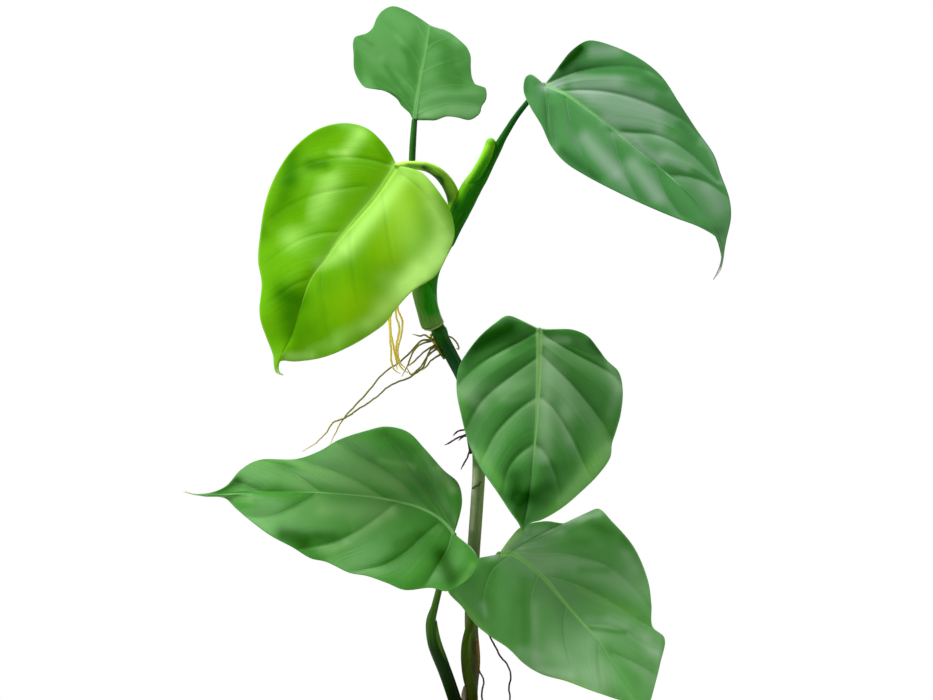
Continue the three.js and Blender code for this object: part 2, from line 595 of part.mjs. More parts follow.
const YELLOW_ROOTS = {
  pad: { route: [[-29.8, 424, -3], [-30, 428, -3.4], [-28.6, 432, -3]], radii: [1.5, 2, 1.5] },
  roots: [
    [[-30.5, 428, -3.5], [-40, 426, -9], [-50, 412, -11], [-55.5, 396, -10], [-55, 388, -9],
      [-54, 372, -9], [-53.5, 363, -9], [-52, 359, -9], [-48, 356.5, -9]],
    [[-30.5, 429, -3.5], [-39, 428, -11], [-48, 414, -13], [-53, 399, -12.5], [-54.5, 388, -12],
      [-52, 372, -12], [-50.5, 364, -12], [-50, 359, -12]],
    [[-30.5, 427, -3.5], [-39, 424, -7], [-46, 414, -8], [-49.8, 405, -8], [-49, 397, -7.5],
      [-46.5, 390, -7], [-47.6, 380.5, -6], [-49.7, 371, -6], [-47, 362, -6], [-44.5, 360, -6]],
    [[-30.5, 426.5, -3.5], [-39, 422, -9], [-46.5, 412, -10.5], [-50.5, 402, -10],
      [-50.5, 394, -9.5], [-48.5, 385, -9], [-50.5, 375, -9], [-50, 366, -9], [-46.5, 359.5, -9],
      [-43, 357, -9]],
  ],
};

const MIDDLE_ROOTS = {
  pad: { route: [[-4.2, 322, 0], [-3.4, 314, 0], [-2.2, 305, 0]], radii: [1.5, 1.8, 1.5] },
  roots: [
    [[-4, 320, 0], [-9, 319.5, -1], [-12, 318, -1], [-13.5, 316, -1]],
    [[-3.6, 317.5, 0], [-12, 314, 0], [-16, 311.5, 0], [-19, 310, 0]],
    [[-3.5, 316, -0.5], [-7, 315.5, -2.5], [-10, 313, -3]],
    [[-2.6, 307, 0], [-4, 303, -0.5], [-6.5, 298, -1], [-8.5, 294, -1]],
  ],
};

const FEEDER_ROOT = {
  pad: { route: [[3.2, 200, 1], [3.3, 197, 1], [3.2, 193, 1]], radii: [1.2, 1.6, 1.2] },
  roots: [
    [[3.3, 197, 1], [6, 191, 2], [10, 186, 2], [17, 173, 1], [21, 168, 0], [23.5, 163, -1],
      [23.7, 158, -2], [22.7, 152, -3], [23.3, 146, -4], [23.5, 132, -5], [22, 116, -6],
      [20, 100, -7]],
  ],
};

const BROWN_ROOTLET = {
  pad: { route: [[1.6, 184, -4.6], [2, 181, -4.8], [2, 177, -4.8]], radii: [1, 1.3, 1] },
  roots: [
    [[2, 181, -4.9], [2.4, 174, -5.8], [2.5, 169, -6.2], [3, 164, -6.2], [5, 160.5, -6.2],
      [6.3, 157, -6.4], [5.2, 150, -6.8], [5.4, 140, -7], [6, 128, -7.2], [6, 116, -7.5],
      [6, 104, -8]],
  ],
};

function bunch({ pad, roots }, grow = 0) {
  const base = tube({ ...pad, sides: 6, step: 4 }, grow);
  return roots.reduce((whole, route) => whole.add(tube({
    route,
    radii: [ROOT_RADIUS * 1.3, ROOT_RADIUS, ROOT_RADIUS, ROOT_RADIUS * 0.8],
    sides: 5,
    step: 6,
  }, grow)), base);
}

// Assembly. What is seated on a neighbour is cut back by the grown neighbour, which leaves the
// clearance between the two.

function ringedStem(grow = 0) {
  return NODE_RINGS.reduce((stem, ring) => stem.add(tube(ring, grow)), tube(STEM, grow));
}

const grownStem = ringedStem(GAP);

function seated(solid, ...neighbours) {
  return mainBody(neighbours.reduce((piece, neighbour) => piece.subtract(neighbour), solid));
}

const SOIL = { colour: '#3b2a20', roughness: 0.95 };
const POT_CLAY = { colour: '#b5694a', roughness: 0.8 };
const STEM_GREEN = { colour: '#5d6f3c', roughness: 0.5 };
const PETIOLE_GREEN = { colour: '#4a6a2a', roughness: 0.5 };
const YOUNG_GREEN = { colour: '#7fae2e', roughness: 0.5 };
const LIME = { colour: '#7fc01a', roughness: 0.4 };
const DEEP_GREEN = { colour: '#3d7c3a', roughness: 0.4 };
const DULL_GREEN = { colour: '#5b9a58', roughness: 0.4 };
const ROOT_OLIVE = { colour: '#8d8442', roughness: 0.7 };
const ROOT_YELLOW = { colour: '#d8b640', roughness: 0.7 };
const ROOT_BROWN = { colour: '#5b4636', roughness: 0.7 };
const BRACT_PALE = { colour: '#cbbf9c', roughness: 0.8 };

const plant = new THREE.Group();

const standing = [
  grownStem,
  tube(LOWER_LEFT_PETIOLE, GAP),
  bunch(FEEDER_ROOT, GAP),
  bunch(BROWN_ROOTLET, GAP),
];

plant.add(
  node('pot', buildPot(), POT_CLAY),
  node('soil', buildSoil(standing), SOIL),
  node('stem', mainBody(ringedStem()), STEM_GREEN),
);

// Each leaf's place, drawings and finishes, and the older petioles that its own is seated on
const LEAVES = [
  ['top', TOP_LEAF, TOP_PETIOLE, DULL_GREEN, PETIOLE_GREEN, []],
  ['lime', LIME_LEAF, LIME_PETIOLE, LIME, YOUNG_GREEN, [UPPER_RIGHT_PETIOLE]],
  ['upper_right', UPPER_RIGHT_LEAF, UPPER_RIGHT_PETIOLE, DEEP_GREEN, PETIOLE_GREEN, []],
  ['middle_right', MIDDLE_RIGHT_LEAF, MIDDLE_RIGHT_PETIOLE, DEEP_GREEN, PETIOLE_GREEN, []],
  ['lower_left', LOWER_LEFT_LEAF, LOWER_LEFT_PETIOLE, DEEP_GREEN, PETIOLE_GREEN, []],
  ['lower_right', LOWER_RIGHT_LEAF, LOWER_RIGHT_PETIOLE, DEEP_GREEN, PETIOLE_GREEN,
    [LOWER_LEFT_PETIOLE]],
];

LEAVES.forEach(([place, leaf, petiole, green, stalkGreen, older]) => {
  const neighbours = [grownStem, blade(leaf, GAP), ...older.map((other) => tube(other, GAP))];
  plant.add(
    node(`${place}_leaf_petiole`, seated(tube(petiole), ...neighbours), stalkGreen),
    node(`${place}_leaf_blade`, blade(leaf), green),
  );
});

const sheath = seated(
  tube(NEW_LEAF_SHEATH),
  grownStem,
  tube(UPPER_RIGHT_PETIOLE, GAP),
  tube(LIME_PETIOLE, GAP),
);
const upperRoots = seated(bunch(UPPER_ROOTS), grownStem, tube(TOP_PETIOLE, GAP));
const yellowRoots = seated(bunch(YELLOW_ROOTS), grownStem, tube(TOP_PETIOLE, GAP));
const middleRoots = seated(bunch(MIDDLE_ROOTS), grownStem, tube(MIDDLE_RIGHT_PETIOLE, GAP));
const bract = seated(
  tube(DRY_BRACT),
  grownStem,
  tube(LOWER_LEFT_PETIOLE, GAP),
  tube(LOWER_RIGHT_PETIOLE, GAP),
);

plant.add(
  node('new_leaf_sheath', sheath, YOUNG_GREEN),
  node('upper_aerial_roots', upperRoots, ROOT_OLIVE),
  node('yellow_aerial_roots', yellowRoots, ROOT_YELLOW),
  node('middle_aerial_roots', middleRoots, ROOT_BROWN),
  node('feeder_root', seated(bunch(FEEDER_ROOT), grownStem), ROOT_BROWN),
  node('brown_rootlet', seated(bunch(BROWN_ROOTLET), grownStem), ROOT_BROWN),
  node('dry_bract', bract, BRACT_PALE),
);

export default plant;
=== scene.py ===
# A climbing philodendron in a plain round pot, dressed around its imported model.

import math

import bpy
import numpy as np
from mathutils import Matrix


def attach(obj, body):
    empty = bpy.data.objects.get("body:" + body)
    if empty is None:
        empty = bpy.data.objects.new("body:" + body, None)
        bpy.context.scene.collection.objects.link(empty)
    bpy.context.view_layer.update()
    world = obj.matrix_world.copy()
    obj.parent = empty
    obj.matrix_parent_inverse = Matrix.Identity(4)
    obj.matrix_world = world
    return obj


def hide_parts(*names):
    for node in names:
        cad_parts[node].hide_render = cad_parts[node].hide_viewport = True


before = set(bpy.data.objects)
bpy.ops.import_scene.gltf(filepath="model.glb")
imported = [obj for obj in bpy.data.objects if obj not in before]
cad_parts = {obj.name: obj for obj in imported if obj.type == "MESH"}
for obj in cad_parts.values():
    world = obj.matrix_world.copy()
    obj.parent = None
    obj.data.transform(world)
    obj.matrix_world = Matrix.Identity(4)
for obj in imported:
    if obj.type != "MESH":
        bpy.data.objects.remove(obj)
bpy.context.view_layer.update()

# Pot
# A plain nursery pot of terracotta-coloured polypropylene, injection moulded, with a thicker rim
# to lift it by and five drain holes. The mould leaves it matte, with a faint orange-peel skin.

MM = 0.001
POT_HEIGHT = 130
POT_TOP_RADIUS = 70
POT_FOOT_RADIUS = 50
POT_WALL = 3.5
POT_FLOOR = 5
POT_FLAT_SHARE = 0.6
FOOT_ROUND = 3
FOOT_INSET = 2.6
POT_FLOOR_ROUND = 2
RIM_HEIGHT = 22
RIM_STEP = 3
RIM_DRAFT = 1
RIM_FILLET = 1.2
RIM_ROUND = 1.4
LIP_ROUND = 1.6
DRAIN_HOLES = 5
DRAIN_RADIUS = 5
DRAIN_CIRCLE = 27
POT_SEGMENTS = 160


def srgb(colour):
    """The linear colour of an sRGB hex string: each part is divided by 12.92 where it is dark, and
    elsewhere raised to the power 2.4 after an offset of 0.055."""
    parts = np.array([int(colour[k:k + 2], 16) / 255 for k in (1, 3, 5)])
    linear = np.where(parts <= 0.04045, parts / 12.92, ((parts + 0.055) / 1.055) ** 2.4)
    return (*linear.tolist(), 1.0)


def add(tree, kind, inputs=None, stops=(), **settings):
    """Adds a shader node of a kind. Its inputs take numbers, hex colours, or nodes or sockets to
    link, and a colour ramp's stops are pairs of place and hex colour."""
    node = tree.nodes.new("ShaderNode" + kind)
    for name, value in settings.items():
        setattr(node, name, value)
    for number, (place, colour) in enumerate(stops):
        marks = node.color_ramp.elements
        mark = marks[number] if number < 2 else marks.new(place)
        mark.position = place
        mark.color = srgb(colour)
    for key, value in (inputs or {}).items():
        if isinstance(value, bpy.types.Node):
            value = next(socket for socket in value.outputs if socket.enabled)
        if isinstance(value, bpy.types.NodeSocket):
            tree.links.new(value, node.inputs[key])
        else:
            node.inputs[key].default_value = srgb(value) if isinstance(value, str) else value
    return node


def new_material(name):
    """A material with an empty node tree."""
    material = bpy.data.materials.new(name)
    material.use_nodes = True
    material.node_tree.nodes.clear()
    return material, material.node_tree


def grid_faces(rows, columns, wrap=False):
    """The four-cornered faces of a grid of points stored row by row, closed round if it wraps. They
    face along the cross product of the way along a row and the way to the next row."""
    i = np.arange(rows - 1)[:, None]
    j = np.arange(columns if wrap else columns - 1)[None, :]
    k = (j + 1) % columns
    corners = [i * columns + j, i * columns + k, (i + 1) * columns + k, (i + 1) * columns + j]
    return np.stack(np.broadcast_arrays(*corners), axis=-1).reshape(-1, 4)


def ring_faces(rings, sides):
    """The faces of a closed tube of rings, and of the two poles that are stored after them."""
    around = np.arange(sides)
    onward = (around + 1) % sides
    last = (rings - 1) * sides
    poles = np.full((2, sides), rings * sides) + [[0], [1]]
    return [
        grid_faces(rings, sides, wrap=True),
        np.stack([poles[0], onward, around], axis=1),
        np.stack([last + around, last + onward, poles[1]], axis=1),
    ]


def add_mesh(name, points, faces):
    """A smooth mesh object at the origin, from points in millimetres and arrays of faces."""
    mesh = bpy.data.meshes.new(name)
    corners = [corner for part in faces for corner in part.tolist()]
    mesh.from_pydata((points.reshape(-1, 3) * MM).tolist(), [], corners)
    mesh.polygons.foreach_set("use_smooth", np.ones(len(mesh.polygons), bool))
    body = bpy.data.objects.new(name, mesh)
    bpy.context.scene.collection.objects.link(body)
    return body


def finish_piece(piece, material, replaced=(), marks=None):
    """Gives a piece its material, its marks, which are values kept at its points for the material
    to read, and its place on the plant's one body."""
    for name, values in (marks or {}).items():
        kind, key = ("FLOAT", "value") if values.ndim == 1 else ("FLOAT_VECTOR", "vector")
        mark = piece.data.attributes.new(name, kind, "POINT")
        mark.data.foreach_set(key, values.astype(np.float32).ravel())
    piece.data.materials.clear()
    piece.data.materials.append(material)
    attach(piece, "root")
    if replaced:
        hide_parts(*replaced)


def turned(profile, segments, centre=(0, 0)):
    """A profile of (radius, height) carried round an upright axis. A point is the radius times the
    cosine and the sine of the angle, at the height. Both ends close into a point on the axis."""
    radius, height = np.array(profile[1:-1], float).T
    angle = np.linspace(0, 2 * math.pi, segments, endpoint=False)
    ring = np.stack([
        radius[:, None] * np.cos(angle), radius[:, None] * np.sin(angle),
        np.repeat(height[:, None], segments, axis=1),
    ], axis=-1).reshape(-1, 3)
    poles = np.array([[0, 0, profile[0][1]], [0, 0, profile[-1][1]]])
    return np.vstack([ring, poles]) + [*centre, 0], ring_faces(len(radius), segments)


def arc(centre, radius, start, stop, count=6):
    """A round corner of a profile: the centre plus the radius along angles in degrees."""
    angle = np.radians(np.linspace(start, stop, count))
    return [(centre[0] + radius * math.cos(a), centre[1] + radius * math.sin(a)) for a in angle]


def pot_inside(z):
    """The pot's inner radius, which widens evenly from its foot to its rim."""
    return POT_FOOT_RADIUS + (POT_TOP_RADIUS - RIM_STEP - POT_FOOT_RADIUS) * z / POT_HEIGHT - POT_WALL


# Moulded polypropylene: even colour, a matte skin with a fine grain, and scuffs on the rim's edge
pot_plastic, tree = new_material("moulded_polypropylene_terracotta")
spot = add(tree, "TexCoord").outputs["Object"]
cloud = add(tree, "TexNoise", {"Vector": spot, "Scale": 14, "Detail": 4})
grain = add(tree, "TexNoise", {"Vector": spot, "Scale": 1400, "Detail": 2})
skin = add(tree, "ValToRGB", {0: cloud}, [(0.3, "#a35a3d"), (0.7, "#b86c4d")])
edge = add(tree, "NewGeometry").outputs["Pointiness"]
scuff = add(tree, "MapRange", {"Value": edge, "From Min": 0.52, "From Max": 0.62, "To Max": 0.5})
worn = add(tree, "Mix", {0: scuff, 6: skin, 7: "#cf9275"}, data_type="RGBA")
bump = add(tree, "Bump", {"Strength": 0.3, "Distance": 0.0002, "Height": grain})
shader = add(tree, "BsdfPrincipled", {
    "Base Color": worn, "Roughness": 0.58, "IOR": 1.49, "Normal": bump})
add(tree, "OutputMaterial", {"Surface": shader})

rim_foot = POT_HEIGHT - RIM_HEIGHT
pot_profile = [
    (0, 0), (POT_FOOT_RADIUS * POT_FLAT_SHARE, 0),
    *arc((POT_FOOT_RADIUS - FOOT_INSET, FOOT_ROUND), FOOT_ROUND, -90, -8),
    *[(pot_inside(z) + POT_WALL, z) for z in np.linspace(8, rim_foot - 3, 12)],
    *arc((pot_inside(rim_foot) + POT_WALL + RIM_FILLET, rim_foot - RIM_FILLET), RIM_FILLET, 180, 90, 4),
    *arc((POT_TOP_RADIUS - RIM_DRAFT - RIM_ROUND, rim_foot + RIM_ROUND), RIM_ROUND, -90, 0, 5),
    *arc((POT_TOP_RADIUS - LIP_ROUND, POT_HEIGHT - LIP_ROUND), LIP_ROUND, 0, 90),
    *arc((pot_inside(POT_HEIGHT) + RIM_ROUND, POT_HEIGHT - RIM_ROUND), RIM_ROUND, 90, 180),
    *[(pot_inside(z), z) for z in np.linspace(POT_HEIGHT - 4, POT_FLOOR + 6, 12)],
    *arc((pot_inside(POT_FLOOR) - POT_FLOOR_ROUND, POT_FLOOR + POT_FLOOR_ROUND), POT_FLOOR_ROUND, 0, -90, 5),
    (POT_FOOT_RADIUS * POT_FLAT_SHARE, POT_FLOOR), (0, POT_FLOOR),
]
pot = add_mesh("nursery_pot", *turned(pot_profile, POT_SEGMENTS))
drill_profile = [(0, -4), (DRAIN_RADIUS, -4), (DRAIN_RADIUS, POT_FLOOR + 4), (0, POT_FLOOR + 4)]
for k in range(DRAIN_HOLES):
    angle = 2 * math.pi * (k + 0.5) / DRAIN_HOLES
    centre = (DRAIN_CIRCLE * math.cos(angle), DRAIN_CIRCLE * math.sin(angle))
    drill = add_mesh("drill", *turned(drill_profile, 32, centre))
    cut = pot.modifiers.new("drain_hole", "BOOLEAN")
    cut.solver = "EXACT"
    cut.object = drill
    whole = bpy.context.evaluated_depsgraph_get()
    bored = bpy.data.meshes.new_from_object(pot.evaluated_get(whole))
    pot.modifiers.clear()
    pot.data = bored
    bpy.data.objects.remove(drill)
pot.data.set_sharp_from_angle(angle=math.radians(50))
finish_piece(pot, pot_plastic, ["pot"])

# Potting mix
# A dark mix of peat, composted bark and a little perlite, poured in loose and settled by watering.
# It fills the pot to just under the rim and lies there in low waves and crumbs.

SOIL_TOP = 118
SOIL_SETTLED = 0.6
SOIL_WAVE = 1.04
SOIL_GAP = 0.6
SOIL_FOOT_GAP = 0.3
SOIL_RINGS = 70
SOIL_SIDES = 240
PERLITE = 60
BARK = 260


def crumb(x, y):
    """The height of the soil's top: long waves across it, with small crumbs of three sizes."""
    wave = np.sin(0.31 * x + 0.5) * np.cos(0.27 * y) + 0.6 * np.sin(0.55 * y - 0.41 * x + 2)
    fine = sum(
        size * np.sin(k * x + 2.1 * np.sin(0.7 * k * y + k)) * np.sin(k * y + 1.7 * np.sin(0.8 * k * x))
        for k, size in ((1.3, 0.55), (2.9, 0.4), (5.3, 0.25))
    )
    return SOIL_TOP - SOIL_SETTLED + SOIL_WAVE * wave + fine


def chips(middles, sizes, turns, flatness):
    """Small angular lumps: each is a twenty-sided ball with its corners pushed in and out, made
    flatter, turned about the upright axis and set at its place."""
    golden = (1 + math.sqrt(5)) / 2
    corners = np.array([(0, a, b * golden) for a in (-1, 1) for b in (-1, 1)], float)
    corners = np.vstack([corners, np.roll(corners, 1, axis=1), np.roll(corners, 2, axis=1)])
    corners /= np.linalg.norm(corners[0])
    gaps = np.linalg.norm(corners[:, None] - corners[None], axis=-1)
    near = np.isclose(gaps, gaps[gaps > 0.1].min())
    a, b, c = np.nonzero(near[:, :, None] & near[None] & near[:, None])
    a, b, c = (v[(a < b) & (a < c)] for v in (a, b, c))
    outward = np.einsum("ij,ij->i", np.cross(corners[b] - corners[a], corners[c] - corners[a]), corners[a])
    faces = np.stack([a, b, c], axis=1)[outward > 0]
    push = rng.uniform(0.65, 1.15, (len(middles), len(corners), 1))
    lumps = corners[None] * push * sizes[:, None, :] * [1, 1, flatness]
    turn = np.stack([np.cos(turns), -np.sin(turns), np.sin(turns), np.cos(turns)], -1).reshape(-1, 2, 2)
    lumps[..., :2] = np.einsum("nij,nkj->nki", turn, lumps[..., :2])
    points = (lumps + middles[:, None]).reshape(-1, 3)
    every = faces[None] + len(corners) * np.arange(len(middles))[:, None, None]
    return points, [every.reshape(-1, 3)]


# Damp peat and bark: nearly black-brown, dull, with lighter fibres
peat, tree = new_material("damp_peat_and_composted_bark")
spot = add(tree, "TexCoord").outputs["Object"]
clod = add(tree, "TexNoise", {"Vector": spot, "Scale": 260, "Detail": 6, "Roughness": 0.7})
fibre = add(tree, "TexVoronoi", {"Vector": spot, "Scale": 420})
brown = add(tree, "ValToRGB", {0: clod}, [
    (0.3, "#1d140e"), (0.5, "#33241a"), (0.64, "#4a3526"), (0.75, "#6b5240")])
bump = add(tree, "Bump", {"Strength": 0.8, "Distance": 0.001, "Height": clod})
bump = add(tree, "Bump", {
    "Strength": 0.5, "Distance": 0.0006, "Height": fibre.outputs["Distance"], "Normal": bump})
shader = add(tree, "BsdfPrincipled", {
    "Base Color": brown, "Roughness": 0.93, "IOR": 1.4, "Normal": bump})
add(tree, "OutputMaterial", {"Surface": shader})

# Expanded perlite: white volcanic glass foam, chalky and slightly stained by the peat
perlite_foam, tree = new_material("expanded_perlite")
spot = add(tree, "TexCoord").outputs["Object"]
stain = add(tree, "TexNoise", {"Vector": spot, "Scale": 700, "Detail": 4})
chalk = add(tree, "ValToRGB", {0: stain}, [(0.35, "#b7a894"), (0.6, "#e6e2d8")])
bump = add(tree, "Bump", {"Strength": 0.6, "Distance": 0.0004, "Height": stain})
shader = add(tree, "BsdfPrincipled", {
    "Base Color": chalk, "Roughness": 0.9, "IOR": 1.5, "Normal": bump})
add(tree, "OutputMaterial", {"Surface": shader})

rng = np.random.default_rng(11)
soil_radius = pot_inside(SOIL_TOP) - SOIL_GAP
angle = np.linspace(0, 2 * math.pi, SOIL_SIDES, endpoint=False)
reach = np.linspace(0, 1, SOIL_RINGS + 1)[1:, None] ** 0.9 * soil_radius
x, y = reach * np.cos(angle), reach * np.sin(angle)
top_rings = np.stack([x, y, crumb(x, y)], axis=-1)[::-1]
foot_radius = pot_inside(POT_FLOOR) - SOIL_GAP
foot_height = POT_FLOOR + SOIL_FOOT_GAP
foot = np.stack([
    foot_radius * np.cos(angle), foot_radius * np.sin(angle), np.full(SOIL_SIDES, foot_height),
], axis=-1)
poles = np.array([[0, 0, foot_height], [0, 0, float(crumb(0, 0))]])
points = np.vstack([foot, top_rings.reshape(-1, 3), poles])
soil = add_mesh("potting_mix", points, ring_faces(SOIL_RINGS + 1, SOIL_SIDES))
finish_piece(soil, peat, ["soil"])

for name, count, size, flatness, material in (
    ("bark_chips", BARK, (0.8, 3.2), 0.45, peat),
    ("perlite_grains", PERLITE, (0.7, 1.7), 0.8, perlite_foam),
):
    turn = rng.uniform(0, 2 * math.pi, count)
    out = np.sqrt(rng.uniform(0.02, 0.93, count)) * soil_radius
    x, y = out * np.cos(turn), out * np.sin(turn)
    middles = np.stack([x, y, crumb(x, y) + 0.2], axis=-1)
    sizes = rng.uniform(*size, (count, 1)) * rng.uniform(0.6, 1, (count, 3))
    lumps = add_mesh(name, *chips(middles, sizes, rng.uniform(0, 2 * math.pi, count), flatness))
    lumps.data.polygons.foreach_set("use_smooth", np.zeros(len(lumps.data.polygons), bool))
    finish_piece(lumps, material)

# Stem
# One round climbing stem, grey-green and woody below and dark green and sappy above. It thickens
# in a ring at each node, where a leaf has grown and left its scar. The soil holds its foot.

EYE_X = -4.9
EYE_Z = 371.8
EYE_DISTANCE = 1700
STEM_ROUTE = [
    (-2, 62, 0), (-2, 100, 0), (-2, 150, 0), (-0.3, 170, 0), (-1.6, 190, 0), (-1.5, 215, 0),
    (-0.5, 237, 0), (1.8, 270, 0), (3, 290, 0), (3, 305, 0), (1, 320, 0), (-2, 339, 0),
    (-7.4, 354, 0), (-14.6, 368, 0), (-21.4, 381.2, 0), (-26.8, 395, 0), (-28.8, 409, 0), (-27.5, 422, 0),
    (-23.5, 432, 0), (-17.8, 443, 0), (-12.5, 455, 0), (-10.5, 459, 0),
]
STEM_RADII = [4.6, 4.4, 4.2, 4.2, 4.3, 4.6, 5.1, 4.9]
NODE_HEIGHTS = [140, 229, 318.5, 383.5]
NODE_SWELLING = 0.75
NODE_SPREAD = 3.2
SCAR_RISE = 2.6
SCAR_SPREAD = 0.9
SCAR_DEPTH = 0.35
# A painted highlight: a pale strip of light down the front of the stem, as a stroke from (x, z) to (x, z)
# with its radius and strength
STEM_PAINTED_HIGHLIGHT = [(0.6, 294, -1.6, 256, 1.7, 0.9)]


def placed(points):
    """Points drawn in the front elevation as (x, z, depth), set in space at that depth on their
    line of sight: their distance from the eye's level grows with the depth."""
    x, z, y = np.moveaxis(np.asarray(points, float), -1, 0)
    scale = (EYE_DISTANCE + y) / EYE_DISTANCE
    return np.stack([EYE_X + (x - EYE_X) * scale, y, EYE_Z + (z - EYE_Z) * scale], axis=-1)


def curve(points, per_span=16):
    """A smooth curve through points, as a dense row of points. Each span is a cubic whose end
    slopes come from its neighbours, with spans weighted by the root of their length."""
    p = np.asarray(points, float)
    p = np.vstack([2 * p[0] - p[1], p, 2 * p[-1] - p[-2]])
    a, b, c, d = p[:-3], p[1:-2], p[2:-1], p[3:]
    ab, bc, cd = (np.sqrt(np.linalg.norm(w - v, axis=1))[:, None] for v, w in ((a, b), (b, c), (c, d)))
    leave = bc * ((b - a) / ab - (c - a) / (ab + bc) + (c - b) / bc)
    arrive = bc * ((c - b) / bc - (d - b) / (bc + cd) + (d - c) / cd)
    t = np.linspace(0, 1, per_span, endpoint=False)[None, :, None]
    b, c, leave, arrive = (v[:, None, :] for v in (b, c, leave, arrive))
    cubic = (
        (2 * t**3 - 3 * t**2 + 1) * b + (t**3 - 2 * t**2 + t) * leave
        + (3 * t**2 - 2 * t**3) * c + (t**3 - t**2) * arrive
    )
    return np.vstack([cubic.reshape(-1, p.shape[1]), p[-2]])


def length_along(line):
    """The length of a row of points from its start to each of them."""
    steps = np.linalg.norm(np.diff(line, axis=0), axis=1)
    return np.concatenate([[0], np.cumsum(steps)])


def spread(values, count):
    """Values at even places along a row, filled in evenly between them to a longer row."""
    return np.interp(np.linspace(0, 1, count), np.linspace(0, 1, len(values)), values)


def tube(line, radii, sides, flat=1, ribs=0, depth=0):
    """A round tube along a row of points, with round ends. A point is the centre plus the radius
    times the cosine along the side direction and the sine along the upward one, which is flattened.
    Fine ribs make the radius larger and smaller round the tube. Returns its points, its faces and
    its marks: the place round and along it in millimetres, and the fraction of its length."""
    way = np.gradient(line, axis=0)
    way /= np.linalg.norm(way, axis=1, keepdims=True)
    run = length_along(line)
    radii = spread(radii, len(line))
    turn = np.radians([80, 60, 40, 20])
    first = line[:1] - way[:1] * radii[0] * np.sin(turn)[:, None]
    last = line[-1:] + way[-1:] * radii[-1] * np.sin(turn[::-1])[:, None]
    centres = np.vstack([first, line, last])
    ways = np.vstack([np.repeat(way[:1], len(turn), 0), way, np.repeat(way[-1:], len(turn), 0)])
    radius = np.concatenate([radii[0] * np.cos(turn), radii, radii[-1] * np.cos(turn[::-1])])
    run = np.pad(run, len(turn), mode="edge")
    side = np.cross(ways, [0, 1, 0])
    side /= np.linalg.norm(side, axis=1, keepdims=True)
    up = np.cross(ways, side)
    angle = np.linspace(0, 2 * math.pi, sides, endpoint=False)[None, :, None]
    wide = radius[:, None, None] + depth * np.cos(ribs * angle) * (radius / radius.max())[:, None, None]
    ring = centres[:, None] + wide * (np.cos(angle) * side[:, None] + flat * np.sin(angle) * up[:, None])
    poles = np.stack([first[0] - way[0] * radii[0] * 0.02, last[-1] + way[-1] * radii[-1] * 0.02])
    points = np.vstack([ring.reshape(-1, 3), poles])
    around = np.broadcast_to(angle[..., 0], ring.shape[:2])
    flow = np.stack([
        radius[:, None] * np.cos(around), radius[:, None] * np.sin(around),
        np.broadcast_to(run[:, None], around.shape),
    ], axis=-1).reshape(-1, 3)
    flow = np.vstack([flow, [[0, 0, run[0]], [0, 0, run[-1]]]])
    marks = {"flow": flow, "rise": flow[:, 2] / run[-1]}
    return points, ring_faces(len(centres), sides), marks


def joined(parts):
    """Several tubes or sheets as one: their points, faces and marks put after one another."""
    starts = np.cumsum([0] + [len(points) for points, _, _ in parts[:-1]])
    faces = [face + start for (_, group, _), start in zip(parts, starts) for face in group]
    marks = {name: np.concatenate([part[2][name] for part in parts]) for name in parts[0][2]}
    return np.vstack([part[0] for part in parts]), faces, marks


def stalk_material(name, stops, roughness, fleck="#3a2c18", flecks=0.3, relief=0.5, streaks=0.25,
                   light_and_tint_colour=None):
    """The skin of a stem or stalk: colours that change along its length, another one where it is marked,
    which is a painted highlight on some stalks and a band of another green on others, fine lengthwise
    streaks of lighter and darker cells, and small corky flecks."""
    material, tree = new_material(name)
    rise = add(tree, "Attribute", attribute_name="rise").outputs["Fac"]
    flow = add(tree, "Attribute", attribute_name="flow").outputs["Vector"]
    spot = add(tree, "TexCoord").outputs["Object"]
    # Streaks about 1 mm wide and 16 mm long, and flecks about 1 mm across
    stretch = add(tree, "Mapping", {"Vector": flow, "Scale": (0.6, 0.6, 0.04)})
    streak = add(tree, "TexNoise", {"Vector": stretch, "Scale": 1.6, "Detail": 4})
    speck = add(tree, "TexNoise", {"Vector": spot, "Scale": 850, "Detail": 3})
    patch = add(tree, "TexNoise", {"Vector": spot, "Scale": 60, "Detail": 2})
    shift = add(tree, "Math", {0: patch, 1: 0.06, 2: -0.03}, operation="MULTIPLY_ADD")
    moved = add(tree, "Math", {0: rise, 1: shift})
    colour = add(tree, "ValToRGB", {0: moved}, stops)
    # The marked colour: a painted highlight on the stem, the sheath and the upper right petiole, and a band
    # of another green on the lime and top petioles
    if light_and_tint_colour:
        light_and_tint = add(tree, "Attribute", attribute_name="light_and_tint").outputs["Fac"]
        colour = add(tree, "Mix", {0: light_and_tint, 6: colour, 7: light_and_tint_colour}, data_type="RGBA")
    tint = add(tree, "MapRange", {
        "Value": streak, "From Min": 0.3, "From Max": 0.7, "To Min": 1 - streaks, "To Max": 1 + streaks})
    colour = add(tree, "VectorMath", {0: colour, 1: tint}, operation="MULTIPLY")
    corky = add(tree, "MapRange", {"Value": speck, "From Min": 0.62, "From Max": 0.7, "To Max": flecks})
    colour = add(tree, "Mix", {0: corky, 6: colour, 7: fleck}, data_type="RGBA")
    bump = add(tree, "Bump", {"Strength": relief, "Distance": 0.0003, "Height": streak})
    bump = add(tree, "Bump", {
        "Strength": 0.6 * relief, "Distance": 0.0002, "Height": speck, "Normal": bump})
    shader = add(tree, "BsdfPrincipled", {
        "Base Color": colour, "Roughness": roughness, "IOR": 1.43, "Specular IOR Level": 0.08,
        "Normal": bump})
    add(tree, "OutputMaterial", {"Surface": shader})
    return material


